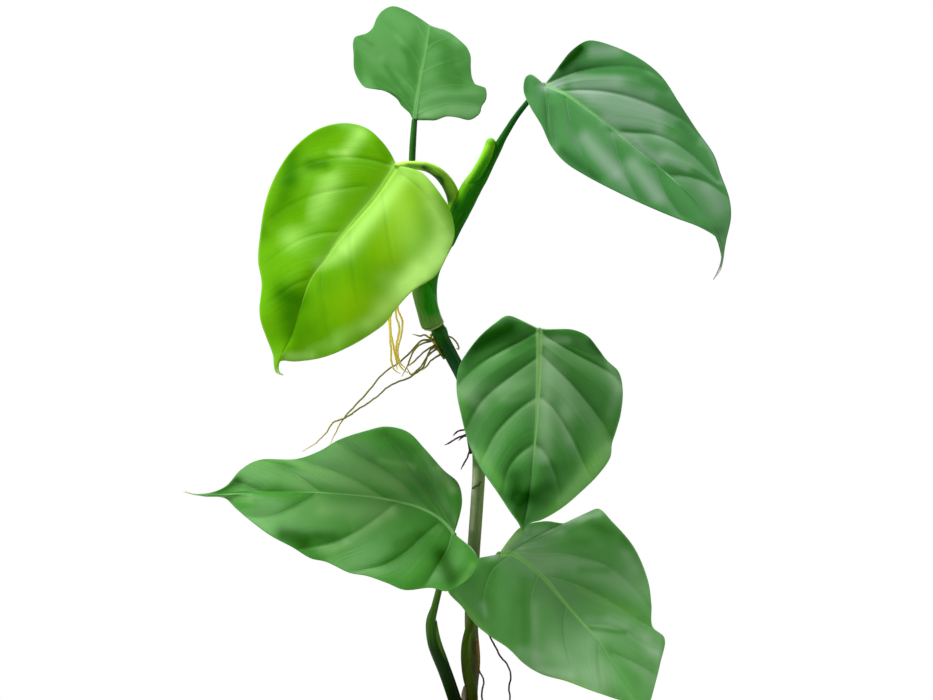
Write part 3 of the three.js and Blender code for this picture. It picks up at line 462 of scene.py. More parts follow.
def shading(flat, strokes):
    """The sum of soft strokes at drawn points. A stroke is a line from (x, z) to (x, z), a radius
    and a value, and fades with the distance from its line, squared and divided by its radius
    squared, as the exponent of a falling exponential. The share of the line passed is the way from
    its start along it, over its length, and stays between 0 and 1."""
    total = np.zeros(flat.shape[:-1])
    for *ends, radius, value in strokes:
        start, way = np.array(ends[:2], float), np.subtract(ends[2:], ends[:2], dtype=float)
        passed = np.clip((flat - start) @ way / max(way @ way, 1e-9), 0, 1)[..., None]
        away = flat - start - passed * way
        total += value * np.exp(-np.sum(away**2, axis=-1) / radius**2)
    return total


# Green bark of a climbing stem: waxy and dark above, dull with grey-brown scars below, with a pale painted
# highlight down its front
stem_skin = stalk_material("waxy_green_stem_bark", [
    (0.0, "#4a4432"), (0.24, "#58603a"), (0.38, "#4e5530"), (0.44, "#65754c"), (0.56, "#5c7440"),
    (0.63, "#31602a"), (0.72, "#1e5030"), (0.775, "#12420e"), (0.81, "#1c5a08"),
    (0.84, "#1c7404"), (0.93, "#1c6c04"), (1.0, "#1c6a02"),
], roughness=0.4, light_and_tint_colour="#93a27a")
line = curve(placed(STEM_ROUTE))
ring = sum(np.exp(-(((line[:, 2] - z) / NODE_SPREAD) ** 2)) for z in NODE_HEIGHTS)
scar = sum(np.exp(-(((line[:, 2] - z - SCAR_RISE) / SCAR_SPREAD) ** 2)) for z in NODE_HEIGHTS)
radii = spread(STEM_RADII, len(line)) + NODE_SWELLING * ring - SCAR_DEPTH * scar
points, faces, marks = tube(line, radii, 48, ribs=7, depth=0.05)
marks["light_and_tint"] = shading(points[:, [0, 2]], STEM_PAINTED_HIGHLIGHT)
finish_piece(add_mesh("climbing_stem", points, faces), stem_skin, ["stem"], marks)

# Petioles
# Leaf stalks of firm green tissue, one to each leaf. Each is widest where its foot clasps the stem,
# with the dried wings of its sheath, and ends in the joint from which its blade hangs.

# A petiole runs from foot to joint as (x, z, depth), with radii at even places and colours at shares of
# its length. A light and tint stroke runs along it from (x, z) to (x, z) with its radius and strength:
# on the upper right petiole it is a painted highlight, on the lime petiole a band of darker green and on
# the top one a band of brighter green. A wing is the sheath's free edge, a thin flap beside the stalk.
# Where a wing has a rise, all of it takes the colour of the stalk at that share of its length.
PETIOLES = {
    "top": dict(
        route=[(-28, 387, 0), (-29.5, 391.5, 0.4), (-32.3, 398, 1.2), (-35.2, 406, 2.6), (-37.8, 415, 4.4),
            (-39.8, 430, 7), (-41, 460, 10), (-40.4, 490, 13), (-39.8, 505, 14), (-38.7, 520.8, 16)],
        radii=[3.2, 3.5, 3.3, 2.9, 2.5, 2.3, 2.2, 2.2, 2.2, 1.9],
        stops=[(0.0, "#86904e"), (0.05, "#5c8a38"), (0.15, "#4c7c30"), (0.3, "#22540f"), (0.6, "#2a5f14"),
            (1.0, "#225a1c")],
        # A band of brighter green down the open side of its sheath
        light_and_tint=[(-27.4, 399.5, -28.6, 427, 5.4, 1.7)],
        light_and_tint_colour="#1c7a00",
        wings=[
            dict(
                route=[(-26.2, 386.2, -1), (-26.4, 386.8, -1.2), (-26.8, 388.2, -1.4), (-28, 391, -1.5),
                    (-29.9, 397.5, -1.5), (-31.6, 404, -1.4), (-33.3, 410, -0.8), (-35.3, 417, 1),
                    (-37.6, 427, 4.5), (-39.4, 438, 7)],
                radii=[3, 6.4, 7.4, 7.4, 7.2, 7.3, 7.1, 5.8, 3.2, 1.6], flat=1, rise=0.1),
            dict(
                route=[(-33.8, 388, -1.5), (-32, 385.4, -6), (-28.6, 384.9, -8), (-24.6, 386.6, -8.2),
                    (-21.4, 388.7, -6.2), (-19.8, 390.3, -2)],
                radii=[0.25, 0.4, 0.5, 0.55, 0.5, 0.3], flat=1, rise=0),
        ],
    ),
    "lime": dict(
        route=[(-14, 453, 4), (-12.6, 462, 5), (-13.2, 470, 2.6), (-15.4, 476.8, -2.5), (-19.2, 482.8, -9),
            (-24.3, 487.6, -15.5), (-30.5, 490.7, -20.5), (-38, 491.8, -25), (-45, 492, -27.5),
            (-50, 491.6, -29.2)],
        radii=[4, 4.3, 4.3, 4.3, 4.1, 3.6, 3.1, 2.8, 2.5, 1.9],
        stops=[(0.0, "#6ca010"), (0.35, "#90cc2c"), (0.62, "#98d83c"), (1.0, "#b0e860")],
        # A band of darker green along its middle
        light_and_tint=[(-17, 470, -22, 480, 3.8, 1), (-23, 481, -31, 488, 2.6, 0.9), (-33, 489, -42, 490, 1.5, 0.5)],
        light_and_tint_colour="#1e5c00", slot="young_petiole",
    ),
    "upper_right": dict(
        route=[(-17.2, 442.6, 0), (-13.4, 452, 0.4), (-9.7, 460.5, 0.8), (-6, 468.5, 0.9),
            (-1.8, 476.8, 0.6), (3.8, 484.9, 0.2), (8.8, 493, -0.4), (14.9, 502.8, -1.4), (18.9, 510, -2.4),
            (27.4, 523.5, -4.6), (34, 532, -6), (40, 539, -7), (45.3, 543.9, -9.2)],
        radii=[4.9, 5.6, 6.4, 6.8, 6.7, 5.6, 4.4, 3.1, 2.4, 1.9, 1.7, 1.7, 1.7],
        stops=[(0.0, "#165c04"), (0.3, "#1e7202"), (0.5, "#1e6e06"), (0.75, "#17501a"), (1.0, "#205a2c")],
        # A painted highlight down its left side
        light_and_tint=[(-11, 472, -2, 487, 3, 0.9)],
        light_and_tint_colour="#66ac14", flat=0.85,
    ),
    "middle_right": dict(
        route=[(1, 311, -2), (4, 318, -6), (12, 330, -16), (24, 350, -30), (34, 368, -39.5),
            (40, 379, -41.5), (42.5, 384.5, -43)],
        radii=[3.2, 2.6, 2.3, 2.3, 2.2, 2.1, 1.9],
        stops=[(0.0, "#3a5f20"), (0.5, "#3f7426"), (1.0, "#4f8e36")],
    ),
    "lower_left": dict(
        route=[(-3, 100, -3), (-5, 118, -5), (-8, 130, -6), (-13, 146, -9), (-18.5, 162, -13),
            (-26, 181, -17), (-28, 195, -20), (-25.5, 205, -21.5), (-23, 215, -22.5), (-17.5, 238, -26),
            (-13.1, 251.6, -28.8)],
        radii=[3.6, 4.2, 4.3, 4.3, 4.3, 4.1, 3.2, 2.3, 2.1, 2, 1.8],
        # Near black over its lower half: painted shade
        stops=[(0.0, "#16300a"), (0.3, "#0e2a05"), (0.52, "#14340a"), (0.6, "#2c5210"), (0.75, "#41661c"),
            (1.0, "#3c662c")],
        wings=[
            dict(
                route=[(-9, 138, -9), (-14, 154, -12), (-19.5, 171, -16.5), (-23, 182, -19.5),
                    (-24.3, 190, -20.8), (-24.4, 196, -21)],
                radii=[2.6, 2.5, 2.2, 1.8, 1.2, 0.25]),
        ],
    ),
    "lower_right": dict(
        route=[(-1.5, 128, -3), (-1.2, 140, -6), (-1.5, 150, -8.3), (-4, 160, -9.5), (-5.2, 170, -9.8),
            (-5, 180, -9.8), (-3, 190, -9.8), (1, 203, -10.5), (7, 219, -12), (13, 233, -15.5),
            (16.4, 239, -19)],
        radii=[3.4, 3.8, 3.7, 3.4, 3.3, 3.2, 2.9, 2.4, 2.2, 2.1, 1.9],
        stops=[(0.0, "#3c4a0c"), (0.3, "#3a5206"), (0.6, "#3c5604"), (1.0, "#5a8a2c")],
        wings=[
            dict(
                route=[(-0.2, 137, -8), (-0.4, 150, -11), (-2.6, 161, -12.4), (-3.4, 172, -12.6),
                    (-3, 183, -12.3), (-1.6, 192, -12)],
                radii=[1.5, 1.4, 1.3, 1.1, 0.8, 0.3]),
        ],
    ),
}


for place, petiole in PETIOLES.items():
    # Firm skin of a leaf stalk: smooth and faintly streaked green, with a few olive flecks
    skin = stalk_material(
        f"firm_petiole_skin_{place}", petiole["stops"], roughness=0.4, fleck="#5a5a20", flecks=0.15,
        light_and_tint_colour=petiole.get("light_and_tint_colour"))
    line = curve(placed(petiole["route"]), 14)
    parts = [tube(line, petiole["radii"], 32, petiole.get("flat", 1), ribs=9, depth=0.03)]
    for wing in petiole.get("wings", []):
        part = tube(curve(placed(wing["route"]), 10), wing["radii"], 32, wing.get("flat", 0.6))
        if "rise" in wing:
            part[2]["rise"][:] = wing["rise"]
        parts.append(part)
    points, faces, marks = joined(parts)
    if "light_and_tint" in petiole:
        marks["light_and_tint"] = shading(points[:, [0, 2]], petiole["light_and_tint"])
    stalk = add_mesh(f"{place}_petiole", points, faces)
    finish_piece(stalk, skin, [f"{place}_leaf_petiole"], marks)

# Leaf blades
# Six heart-shaped blades, thin, leathery and waxy, which hang from their joints with the drip tip
# down. A pale midrib and curved side veins lie a little sunk in the upper face and stand out below.

BLADE_THICKNESS = 0.6
MARGIN_THICKNESS = 0.25
RIB_DEPTH = 1.3
RIB_RISE = 0.18
QUILTING = 1.1
QUILT_REACH = 5
VEIN_FURROW = 0.35
VEIN_FURROW_REACH = 1.1
VEIN_SHADE_REACH = 3.2
VEIN_END_WIDTH = 0.3
VEIN_ROOT_WIDTH = 0.85
VEIN_FADE_ROWS = 0.06
RIB_FADE_START = 0.25
RIB_FADE_SPAN = 0.6
TIP_FADE = 0.03
PATTERN_OF_STRIP = 12
PATTERN_OF_HALF = 100
LOBE_HEEL = 0.02
LOBE_ROWS = 0.3
TIP_HALF_WIDTH = 0.3
TIP_SQUARENESS = 20
END_STRIP = 15
SLOPE_SHADE = 0.85
STEEPEST_SLOPE = 0.6
BLADE_ROWS = 190
BLADE_COLUMNS = 36

# A leaf is drawn in the front elevation: its midrib as (x, z, depth), and its margins on the left
# and right of it, as seen with the tip down, as (x, z). The bow is how far its rows bend back, as a
# share of their length. The ruffle is the height of the waves along its margin, with their number and
# their phase. The quilt is how much it swells between its side veins. The rib is half the midrib's
# width, which fades from view towards the tip by rib_fade, and the drip tip's own colour starts at the
# share tip of the length. Each half tilts by its depth for each millimetre to the right and up. The fan
# is the share of a margin that the lobe takes, the sweep how far the rows of a blade run to the tip, and
# the arch how far the half bulges, as a share of its width. Side veins are drawn from the midrib
# outwards. A sheen and shade stroke is a line from (x, z) to (x, z), its radius, and how much paler or
# darker the leaf is painted there: mostly painted sheen and painted shade, with some of the leaf's own
# paler and darker patches. A glow is painted light: how much light the yellow tissue there lets
# through, painted into its colour.
LEAVES = {
    "lime": dict(
        midrib=[(-50, 491.5, -30), (-64, 471, -33), (-76, 457, -36), (-87, 444, -40), (-95, 433, -43),
            (-102, 424, -45), (-107, 415.5, -47), (-113, 398, -51), (-118.5, 381, -55), (-127, 364, -59),
            (-128, 358, -60), (-124, 355.5, -60)],
        bow=0.13, ruffle=2.5, waves=3.2, quilt=0.12, rib=2.9, rib_fade=1.1, tip=0.95, slot="lime_leaf",
        left=dict(
            margin=[(-52, 492), (-54, 499), (-60.5, 508), (-70, 516), (-84, 519.3), (-100, 516),
                (-112, 508), (-122, 497), (-131, 481), (-136, 466), (-139, 447), (-140.3, 430), (-138, 415),
                (-139.5, 398), (-138.5, 390), (-135, 380), (-130.5, 368), (-130, 362), (-128.5, 357),
                (-124, 355.5)],
            tilt=(-0.18, 0.25), fan=0.28, sweep=1.8, arch=0.07, phase=0.5,
            veins=[
                [(-54.6, 492), (-67.6, 495.3), (-83.9, 496.9), (-100.1, 494.7), (-113.1, 490.4),
                 (-126, 484)],
                [(-72.5, 478.2), (-83.9, 476.6), (-96.9, 474.2), (-109.9, 470.1), (-121.2, 464.4),
                 (-132.6, 456.3)],
                [(-88.7, 448.2), (-100.1, 447.3), (-113.1, 443.3), (-126.1, 435.2), (-136, 427)],
                [(-108.2, 417.3), (-116.3, 414), (-126.1, 407.5), (-137, 400)],
            ]),
        right=dict(
            margin=[(-49, 491), (-40, 489.5), (-34, 487), (-27, 480), (-21, 472), (-16, 464), (-12.6, 447),
                (-17.5, 433), (-25, 420), (-40, 410), (-51, 398), (-58, 389), (-63, 385), (-79, 375),
                (-98, 367), (-116, 364.3), (-126, 364.5), (-127.5, 361), (-126.8, 357.8), (-124, 355.5)],
            tilt=(0.05, 0.22), fan=0.28, sweep=1.8, arch=0.07, phase=2.2,
            veins=[
                [(-46.5, 485.5), (-35.1, 475.8), (-25.3, 462.8), (-15, 447)],
                [(-59.5, 472.5), (-57, 459.5), (-55.4, 446.5), (-51.4, 429), (-43, 413)],
                [(-80.6, 446.5), (-79, 430.3), (-77.4, 414), (-74.1, 399.4), (-68, 384)],
                [(-98.5, 423.8), (-98.5, 410.8), (-96.9, 397.8), (-93.6, 381.6), (-89, 369)],
            ]),
        sheen_and_shade_strokes=[(-74, 512, -82, 501, 5, 0.4), (-93, 500, -84, 499.5, 2.5, 0.2), (-93, 482, -98, 470, 8, 0.4),
            (-106, 459, -118, 445, 8, 0.35), (-119, 497, -119, 483, 8, -0.85),
            (-106, 492, -97, 492, 4.5, -0.8), (-125, 470, -130, 460, 6, -0.45),
            (-138, 450, -137, 447, 5, -0.4), (-112, 506, -92, 516, 6, -0.35), (-62, 506, -56, 498, 4, -0.4),
            (-124, 408, -113, 405, 8, -0.65), (-121, 392, -121, 384, 8, -0.6),
            (-46, 484, -84, 438, 6.5, 0.65), (-92, 431, -99, 427, 5, 0.35), (-34, 484, -30, 476, 6, 0.5),
            (-27, 466, -22, 455, 6, 0.5), (-20, 443, -26, 433, 8, 0.85), (-37, 423, -44, 415, 8, 0.95),
            (-53, 405, -59, 399, 7, 0.6), (-68, 390, -88, 380, 5, 0.2), (-121, 367.5, -106, 368, 3.5, 0.35),
            (-106, 374, -90, 375, 5, 0.15), (-52, 493, -37, 491, 3.5, 0.35),
            (-124, 478, -112, 456, 8, -0.3), (-128, 416, -110, 386, 10, -0.3),
            (-96, 416, -86, 400, 7, -0.2), (-46, 462, -42, 446, 12, 0.3), (-20, 432, -31, 420, 5, 0.4),
            (-38, 412, -50, 402, 5, 0.35), (-57, 398, -68, 389, 5, 0.35), (-58, 418, -50, 412, 6, 0.15)],
        glow=[(-42, 474, -55, 437, 14.6, 0.45), (-81, 401, -55, 398, 14.6, 0.45)]),
    "top": dict(
        midrib=[(-38.5, 521.3, 15), (-37.5, 530, 21), (-36, 540, 30), (-34.5, 550, 40), (-32.5, 560, 50),
            (-31, 568, 58), (-30, 575, 66), (-29, 581, 76), (-28.5, 582.5, 86), (-28, 580, 97),
            (-27.5, 573, 107), (-27, 566, 113)],
        bow=0.08, ruffle=2, waves=3.4, quilt=0.9, rib=1.7, rib_fade=0.4, tip=0.97, slot="dull_leaf",
        left=dict(
            margin=[(-40.3, 522.5), (-43, 527.8), (-47.3, 530.9), (-50, 535), (-56.8, 539.7), (-64, 541.8),
                (-70.9, 542.6), (-75, 547.2), (-77.9, 554), (-78.3, 564), (-78.7, 571), (-77.5, 575),
                (-74, 576.4), (-69.8, 577.6), (-66, 581), (-63.3, 587.4), (-59.5, 592.3), (-53, 595.2),
                (-45, 592.8), (-39.5, 588.3), (-34, 580), (-27, 566)],
            tilt=(-0.05, 0.75), fan=0.08, sweep=1, arch=0.06, phase=0,
            veins=[
                [(-39.3, 525.2), (-45.5, 533.7), (-54, 540.8), (-63.7, 546), (-75, 551)],
                [(-37.3, 536.9), (-44.2, 546), (-53.3, 554.5), (-62.4, 561.6), (-76, 570)],
                [(-35.1, 555.1), (-40.3, 565.5), (-46.8, 573.3), (-54.6, 580.5), (-62, 588)],
                [(-31.2, 573.3), (-35.1, 579.8), (-39, 586.3), (-44.2, 592)],
            ]),
        right=dict(
            margin=[(-37, 521.2), (-29, 521.1), (-25, 521.1), (-18, 523.5), (-11, 523), (-4, 521.3),
                (-0.4, 522.2), (3.8, 525.7), (5, 530), (7.7, 534.3), (8.2, 538.6), (7, 542.4), (3.5, 542.6),
                (0.8, 544.4), (-1.4, 549), (-2.1, 555), (-2.3, 563), (-4.6, 568.3), (-9, 572.8),
                (-16, 578.2), (-22, 580.5), (-27, 577), (-27, 566)],
            tilt=(0.1, 0.75), fan=0.05, sweep=1.1, arch=0.06, phase=2,
            veins=[
                [(-37.7, 524.6), (-28.6, 528.5), (-16.9, 531.7), (-6.5, 531.7), (5, 530)],
                [(-35.8, 536.9), (-27.3, 540.8), (-16.9, 543.4), (-7.8, 543.4), (-0.5, 544)],
                [(-33.4, 551.9), (-26, 555.8), (-16.9, 559), (-7.8, 560.3), (-2, 559)],
                [(-31.2, 566.8), (-24.7, 571.4), (-16.9, 574), (-11, 575)],
            ]),
        sheen_and_shade_strokes=[(-43, 566, -37.5, 546, 3, -0.8), (-62, 546, -45, 529, 3.6, -0.8),
            (-57, 557, -51, 546, 3.6, -0.6), (-17, 557, -11, 545, 4, -0.5), (-77, 558, -77, 550, 4, -0.5),
            (-57, 556, -42.5, 535.5, 1.6, -0.6), (-46.5, 568, -36.5, 556, 1.6, -0.5),
            (-60, 561.5, -46, 545.5, 2.4, 0.36), (-50, 576, -42, 565.5, 2.4, 0.36),
            (-25, 553.5, -8, 560.5, 1.5, -0.3), (-56, 590, -45, 581, 5.2, 0.2),
            (-37, 578, -41, 552, 3.2, -0.5), (-22, 581, -11, 570, 4.5, 0.35), (-28, 572, -9, 566, 4, -0.6),
            (-20, 551, -4, 555, 4.5, -0.6), (-29, 538, 1, 539, 2.9, 0.2), (-74, 575, -66, 570, 1.4, -0.5),
            (-59, 540, -46, 530, 0.7, -1.4), (-77, 557, -72, 546, 1.6, -0.25),
            (-48, 554, -41, 539, 4, -0.35), (-42, 569, -35, 563, 4, -0.35), (-77, 571, -76, 566, 2, -0.3),
            (-13, 526, -2, 526, 4, 0.3), (-66, 590, -50, 575, 10, -0.2), (-75, 563, -50, 534, 5, -0.5),
            (-18, 571, -16, 562, 4, -0.4), (-18, 552, -11, 545, 5, -0.4), (-31, 528, 4, 528, 6, 0.35),
            (-31, 524, -24, 524, 3, 0.3), (-44, 529, -39, 522, 3, -0.4), (-20, 562, -16, 558, 3.5, -0.35),
            (-18, 543, -10, 548, 4, -0.25), (-60, 543, -44, 529, 3.5, -0.5), (-77, 562, -75, 548, 3, -0.4),
            (-36, 525, -30, 523, 3, 0.35), (-4, 524, 2, 527, 3, 0.35)],
        glow=[(-37, 528, -30, 583, 1.3, 0.2)]),
    "upper_right": dict(
        midrib=[(45.5, 544, -11), (57.6, 538.7, -12), (79.4, 523.4, -13), (101, 506.5, -14),
            (123, 488, -16), (139.3, 472.8, -18), (148, 463, -19), (155.7, 453, -20), (160.6, 443.4, -20),
            (161.8, 436, -20), (161.3, 430, -20), (159.5, 424, -20), (155.5, 417.5, -20)],
        bow=0.2, ruffle=2, waves=3.1, quilt=1.4, rib=1.9, rib_fade=0.6, tip=0.88, slot="deep_leaf",
        left=dict(
            margin=[(44, 544.5), (39, 550), (36.5, 550.8), (33.5, 549), (32.2, 540.5), (36, 531),
                (44, 517.5), (50, 504.5), (59, 494), (72, 485.5), (90, 476), (110, 466.5), (130, 458),
                (147, 451.5), (158, 444.5), (160.5, 439), (160.9, 431), (159, 424.5), (155.5, 417.5)],
            tilt=(1.03, 1.09), fan=0.26, sweep=1.4, arch=0.05, phase=1,
            veins=[
                [(45.4, 543.5), (47, 531.4), (47.8, 518.4), (50, 505)],
                [(60, 535.4), (61.6, 524.9), (64.9, 513.5), (69.2, 502.1), (73, 490.8), (75.8, 483.4)],
                [(89.2, 513.5), (91.7, 505.4), (94.9, 494), (99, 483.4), (103.9, 474.5), (107.9, 467.5)],
                [(117.7, 489.9), (120.9, 481), (125, 472), (130.7, 463.9), (137.2, 455.6)],
            ]),
        right=dict(
            margin=[(47, 545.5), (50, 549.5), (54, 554.5), (63, 566), (72, 572.3), (77, 573), (90, 569.5),
                (108, 561), (122, 549.5), (133, 533), (144, 516), (156, 498.5), (160, 487), (166, 470),
                (167, 458), (164, 443.5), (162.8, 437), (161.9, 430), (160, 423.5), (155.5, 417.5)],
            tilt=(0.32, 0.34), fan=0.26, sweep=2.5, arch=0.02, phase=2.6,
            veins=[
                [(47.8, 545.2), (60.8, 550.6), (75.4, 554.5), (90, 556.2), (103, 555.8), (115.2, 552.5),
                 (126, 544.4)],
                [(55.9, 539.8), (68.9, 540.6), (83.5, 539.8), (98.2, 537), (112.8, 532.2), (125.8, 526.5),
                 (138.8, 519.2), (146.9, 510.3)],
                [(96.5, 513.2), (104.7, 512.7), (114.4, 512.2), (124.2, 509.4), (137.2, 502.1),
                 (146.9, 494), (158, 482)],
                [(127.4, 485.1), (133.9, 485.1), (142, 483.7), (150.2, 481), (158.3, 476.1), (166, 470)],
            ]),
        sheen_and_shade_strokes=[(57, 556, 69, 567, 3.5, -0.9), (77, 565, 92, 566, 5.5, 0.35), (68, 554, 108, 553, 3, -0.35),
            (163, 431, 161, 418, 2.5, 1.2), (159, 413, 155, 408, 2.5, 1.4), (61, 564, 70, 573, 4.5, -0.5),
            (46, 543, 56, 543, 3.5, 0.55), (67, 542, 92, 544, 6.5, 0.5), (101, 539, 114, 537, 5, 0.3),
            (112, 548, 124, 542, 3, -0.35), (76, 532, 118, 527, 6, 0.3), (86, 521, 120, 517, 5, 0.35),
            (92, 512, 104, 508, 4, 0.25), (120, 512, 130, 509, 4, 0.25), (50, 528, 50, 511, 4, -0.35),
            (134, 518, 142, 508, 3, -0.3), (72, 509, 91, 488, 5.5, 0.38), (94, 485, 98, 481, 4, 0.2),
            (103, 492, 119, 471, 5.5, 0.36), (108, 503, 120, 494, 4, 0.3), (124, 498, 138, 490, 4, 0.35),
            (151, 476, 158, 464, 6, 0.22), (57, 501, 80, 483, 3.5, -0.5), (108, 466, 124, 460, 3, -0.3),
            (148, 449, 160, 449, 4, -0.35), (151, 509, 163, 480, 2.5, 0.3), (33, 548, 33, 540, 2.5, -0.4)],
        glow=[(59, 539, 80, 526, 3.9, 0.35), (124, 512, 140, 489, 2.3, 0.2), (162, 489, 165, 463, 1.6, 0.3),
            (80, 479, 140, 456, 1.3, 0.3)]),
    "middle_right": dict(
        midrib=[(42.5, 385.5, -45), (42.3, 370, -46), (41.8, 350, -48), (40.2, 320, -51), (39, 305, -53),
            (37.5, 290, -54), (36, 280, -55), (33.5, 265, -55), (31.5, 254, -55)],
        bow=0.17, ruffle=2.4, waves=3.3, quilt=1.7, rib=2.5, rib_fade=0.8, tip=0.97, slot="deep_leaf",
        left=dict(
            margin=[(40, 385.7), (31, 391), (21.5, 394), (14, 389.5), (4, 381), (-4, 371), (-10, 360.5),
                (-11.3, 346), (-8.5, 330), (-3.5, 311), (3, 297), (14, 281), (24, 266), (28.8, 259.5),
                (31.5, 254)],
            tilt=(-0.22, 0.04), fan=0.28, sweep=2.25, arch=0.04, phase=0.6,
            veins=[
                [(40, 382.9), (30.2, 377.2), (18.9, 371.5), (7.5, 365), (-2.3, 357.6), (-10.5, 349)],
                [(39.7, 365.8), (30.2, 359.3), (18.9, 351.1), (7.5, 341.4), (1, 332.5), (-5.5, 320)],
                [(39.2, 339.8), (30.2, 334.1), (20.5, 325.1), (13.2, 316.2), (8.3, 306.5), (3, 296)],
                [(37.1, 309.7), (30.2, 304.9), (24.6, 298.4), (21.3, 291.9), (19.7, 283.7), (18, 275)],
            ]),
        right=dict(
            margin=[(45, 385.5), (50, 385.2), (64, 385), (74, 380.7), (80.5, 373), (86, 365.5), (94, 357.5),
                (96.6, 346), (95.3, 330), (92.3, 319), (89.7, 311), (88.5, 302), (81, 291), (70, 280),
                (57, 269), (44, 261.5), (36, 259), (31.5, 254)],
            tilt=(0.22, 0.04), fan=0.28, sweep=2.3, arch=0.04, phase=1.9,
            veins=[
                [(44, 382.9), (56.2, 374.7), (69.2, 367.4), (80.6, 361.4), (90.4, 355.2), (96.4, 348.7)],
                [(43.6, 369), (53, 360.1), (64.4, 348.7), (74.1, 337.4), (83.9, 324.4), (90.5, 312)],
                [(44, 340.6), (51.4, 334.1), (57.9, 324.4), (63.6, 314.6), (67.6, 306.5), (74.1, 291.9),
                 (79.3, 283)],
                [(39.2, 310.4), (44.9, 306.5), (49.7, 298.4), (53, 290.2), (55.4, 280.5), (58, 270)],
            ]),
        sheen_and_shade_strokes=[(22, 387, 8, 380, 7, -0.7), (0, 373, -6, 364, 6, -0.55), (36, 379, 26, 374, 4, -0.35),
            (60, 385, 70, 382, 3, -0.4), (76, 377, 82, 371, 3, -0.6), (46, 378, 60, 378, 3.5, 0.5),
            (47, 368, 46, 303, 6, 0.5), (55, 358, 61, 332, 7, 0.35), (0, 346, 34, 349, 6, 0.25),
            (-7, 343, 4, 336, 5, 0.3), (-2, 309, 2, 301, 2.5, 0.4), (27, 290, 29, 262, 6, -0.7),
            (38, 279, 48, 283, 6, -0.6), (48, 295, 62, 297, 5, -0.2), (88, 308, 58, 273, 4.5, 0.6),
            (88, 362, 94, 348, 4, 0.4), (92, 342, 88, 330, 4, 0.2), (-9, 366, -9, 360, 3, 0.3),
            (26, 388, 2, 374, 8, -0.35), (26, 276, 46, 272, 6, -0.45), (58, 332, 62, 314, 5, 0.25),
            (20, 339, 46, 340, 4, 0.2)],
        glow=[(87, 305, 51, 265, 5.5, 0.6), (4, 304, 17, 284, 3.9, 0.35), (-9, 344, -6, 330, 2.6, 0.3),
            (84, 320, 74, 294, 6.5, 0.3)]),
    "lower_left": dict(
        midrib=[(-13, 252, -30), (-19, 259, -24), (-27, 265, -20), (-37, 269.5, -16), (-48, 272.5, -14),
            (-60, 275, -12), (-75, 277, -10), (-105, 279, -8), (-135, 279.5, -8), (-160, 278.5, -10),
            (-180, 277.5, -14), (-189, 280, -16)],
        bow=0.16, ruffle=2.4, waves=3.4, quilt=1.5, rib=1.5, rib_fade=0.4, tip=0.925, slot="deep_leaf",
        left=dict(
            margin=[(-13.5, 254), (-11, 259), (-7.8, 274), (-10.5, 285.5), (-19.5, 293.5), (-31.5, 307),
                (-43, 318.5), (-57, 322), (-70, 319.3), (-88, 313.3), (-100, 306.3), (-115, 301),
                (-140, 300.2), (-151.5, 294), (-161, 283.5), (-169, 279.6), (-180, 278), (-189, 280)],
            tilt=(0, 0.93), fan=0.24, sweep=1.8, arch=0.03, phase=0.4,
            veins=[
                [(-14.1, 255.7), (-23.2, 270.8), (-34, 285.4), (-44.9, 299.5), (-57, 316)],
                [(-27.5, 264.4), (-42.7, 281), (-57.9, 292.9), (-73, 302.7), (-86, 313)],
                [(-55.7, 273), (-70.9, 283.2), (-86, 290.7), (-101.2, 296.2), (-116, 301)],
                [(-100.1, 278.9), (-108.8, 285.4), (-118.5, 291.9), (-129.4, 297.2), (-140, 301)],
                [(-140.2, 279.5), (-147.8, 283.2), (-158, 286)],
            ]),
        right=dict(
            margin=[(-11.5, 250.5), (-8, 247.5), (-1, 242.5), (2.5, 235.5), (-0.5, 226.5), (-9, 219),
                (-17.5, 215), (-28, 217.2), (-45, 215.8), (-57, 220.5), (-70, 225), (-81, 227), (-96, 234),
                (-106, 236.3), (-118, 243.5), (-132, 251), (-145, 260.5), (-155, 269), (-162, 275.5),
                (-176, 276.8), (-189, 280)],
            tilt=(0, 0.93), fan=0.24, sweep=2.1, arch=0.06, phase=2,
            veins=[
                [(-14.1, 254), (-17.8, 241), (-25.4, 229), (-33, 217)],
                [(-24.2, 258.2), (-34, 249.6), (-44.9, 239.9), (-57.9, 232.2), (-70.9, 229), (-80, 227)],
                [(-52.4, 270.9), (-64.4, 261.5), (-77.4, 252.9), (-92.5, 246.4), (-107.7, 243.1),
                 (-116, 241.6)],
                [(-102.2, 278.2), (-114.2, 270.9), (-127.2, 264.7), (-140.2, 262.6), (-149, 263.5)],
            ]),
        sheen_and_shade_strokes=[(-124, 252, -110, 249, 6, -0.75), (-102, 252, -92, 252, 4, -0.3),
            (-112, 242, -106, 240, 4, -0.3), (-166, 282, -154, 286, 4, -0.8),
            (-146, 283, -128, 283, 3, -0.2), (-157, 276, -146, 275, 3, 0.3), (-110, 291, -50, 285, 10, 0.3),
            (-98, 268, -56, 269, 6, 0.35), (-133, 301, -120, 301, 3, 0.4), (-60, 317, -40, 307, 5, -0.35),
            (-22, 295, -14, 281, 3.5, 0.6), (-54, 233, -30, 244, 7, -0.3), (-20, 238, -16, 222, 7, -0.55),
            (-4, 228, 4, 224, 5, -0.25), (-16, 264, -14, 256, 3.5, -0.3), (-94, 238, -84, 246, 4, 0.25),
            (-78, 254, -64, 260, 4, 0.25), (-100, 250, -88, 247, 4, -0.25), (-78, 262, -54, 266, 5, 0.2),
            (-50, 246, -36, 252, 4, -0.3), (-22, 238, -14, 224, 5, -0.3), (-8, 226, 4, 222, 5, -0.2),
            (-164, 283, -158, 285, 3, -0.3)],
        glow=[(-1, 231, -9, 217, 3, 0.25), (-61, 300, -39, 296, 2.2, 0.2),
            (-109, 318, -70, 322, 1.7, 0.1)]),
    "lower_right": dict(
        midrib=[(16.5, 239, -20), (24, 239.5, -20), (30, 236.5, -20), (44, 225, -22), (56, 211, -27),
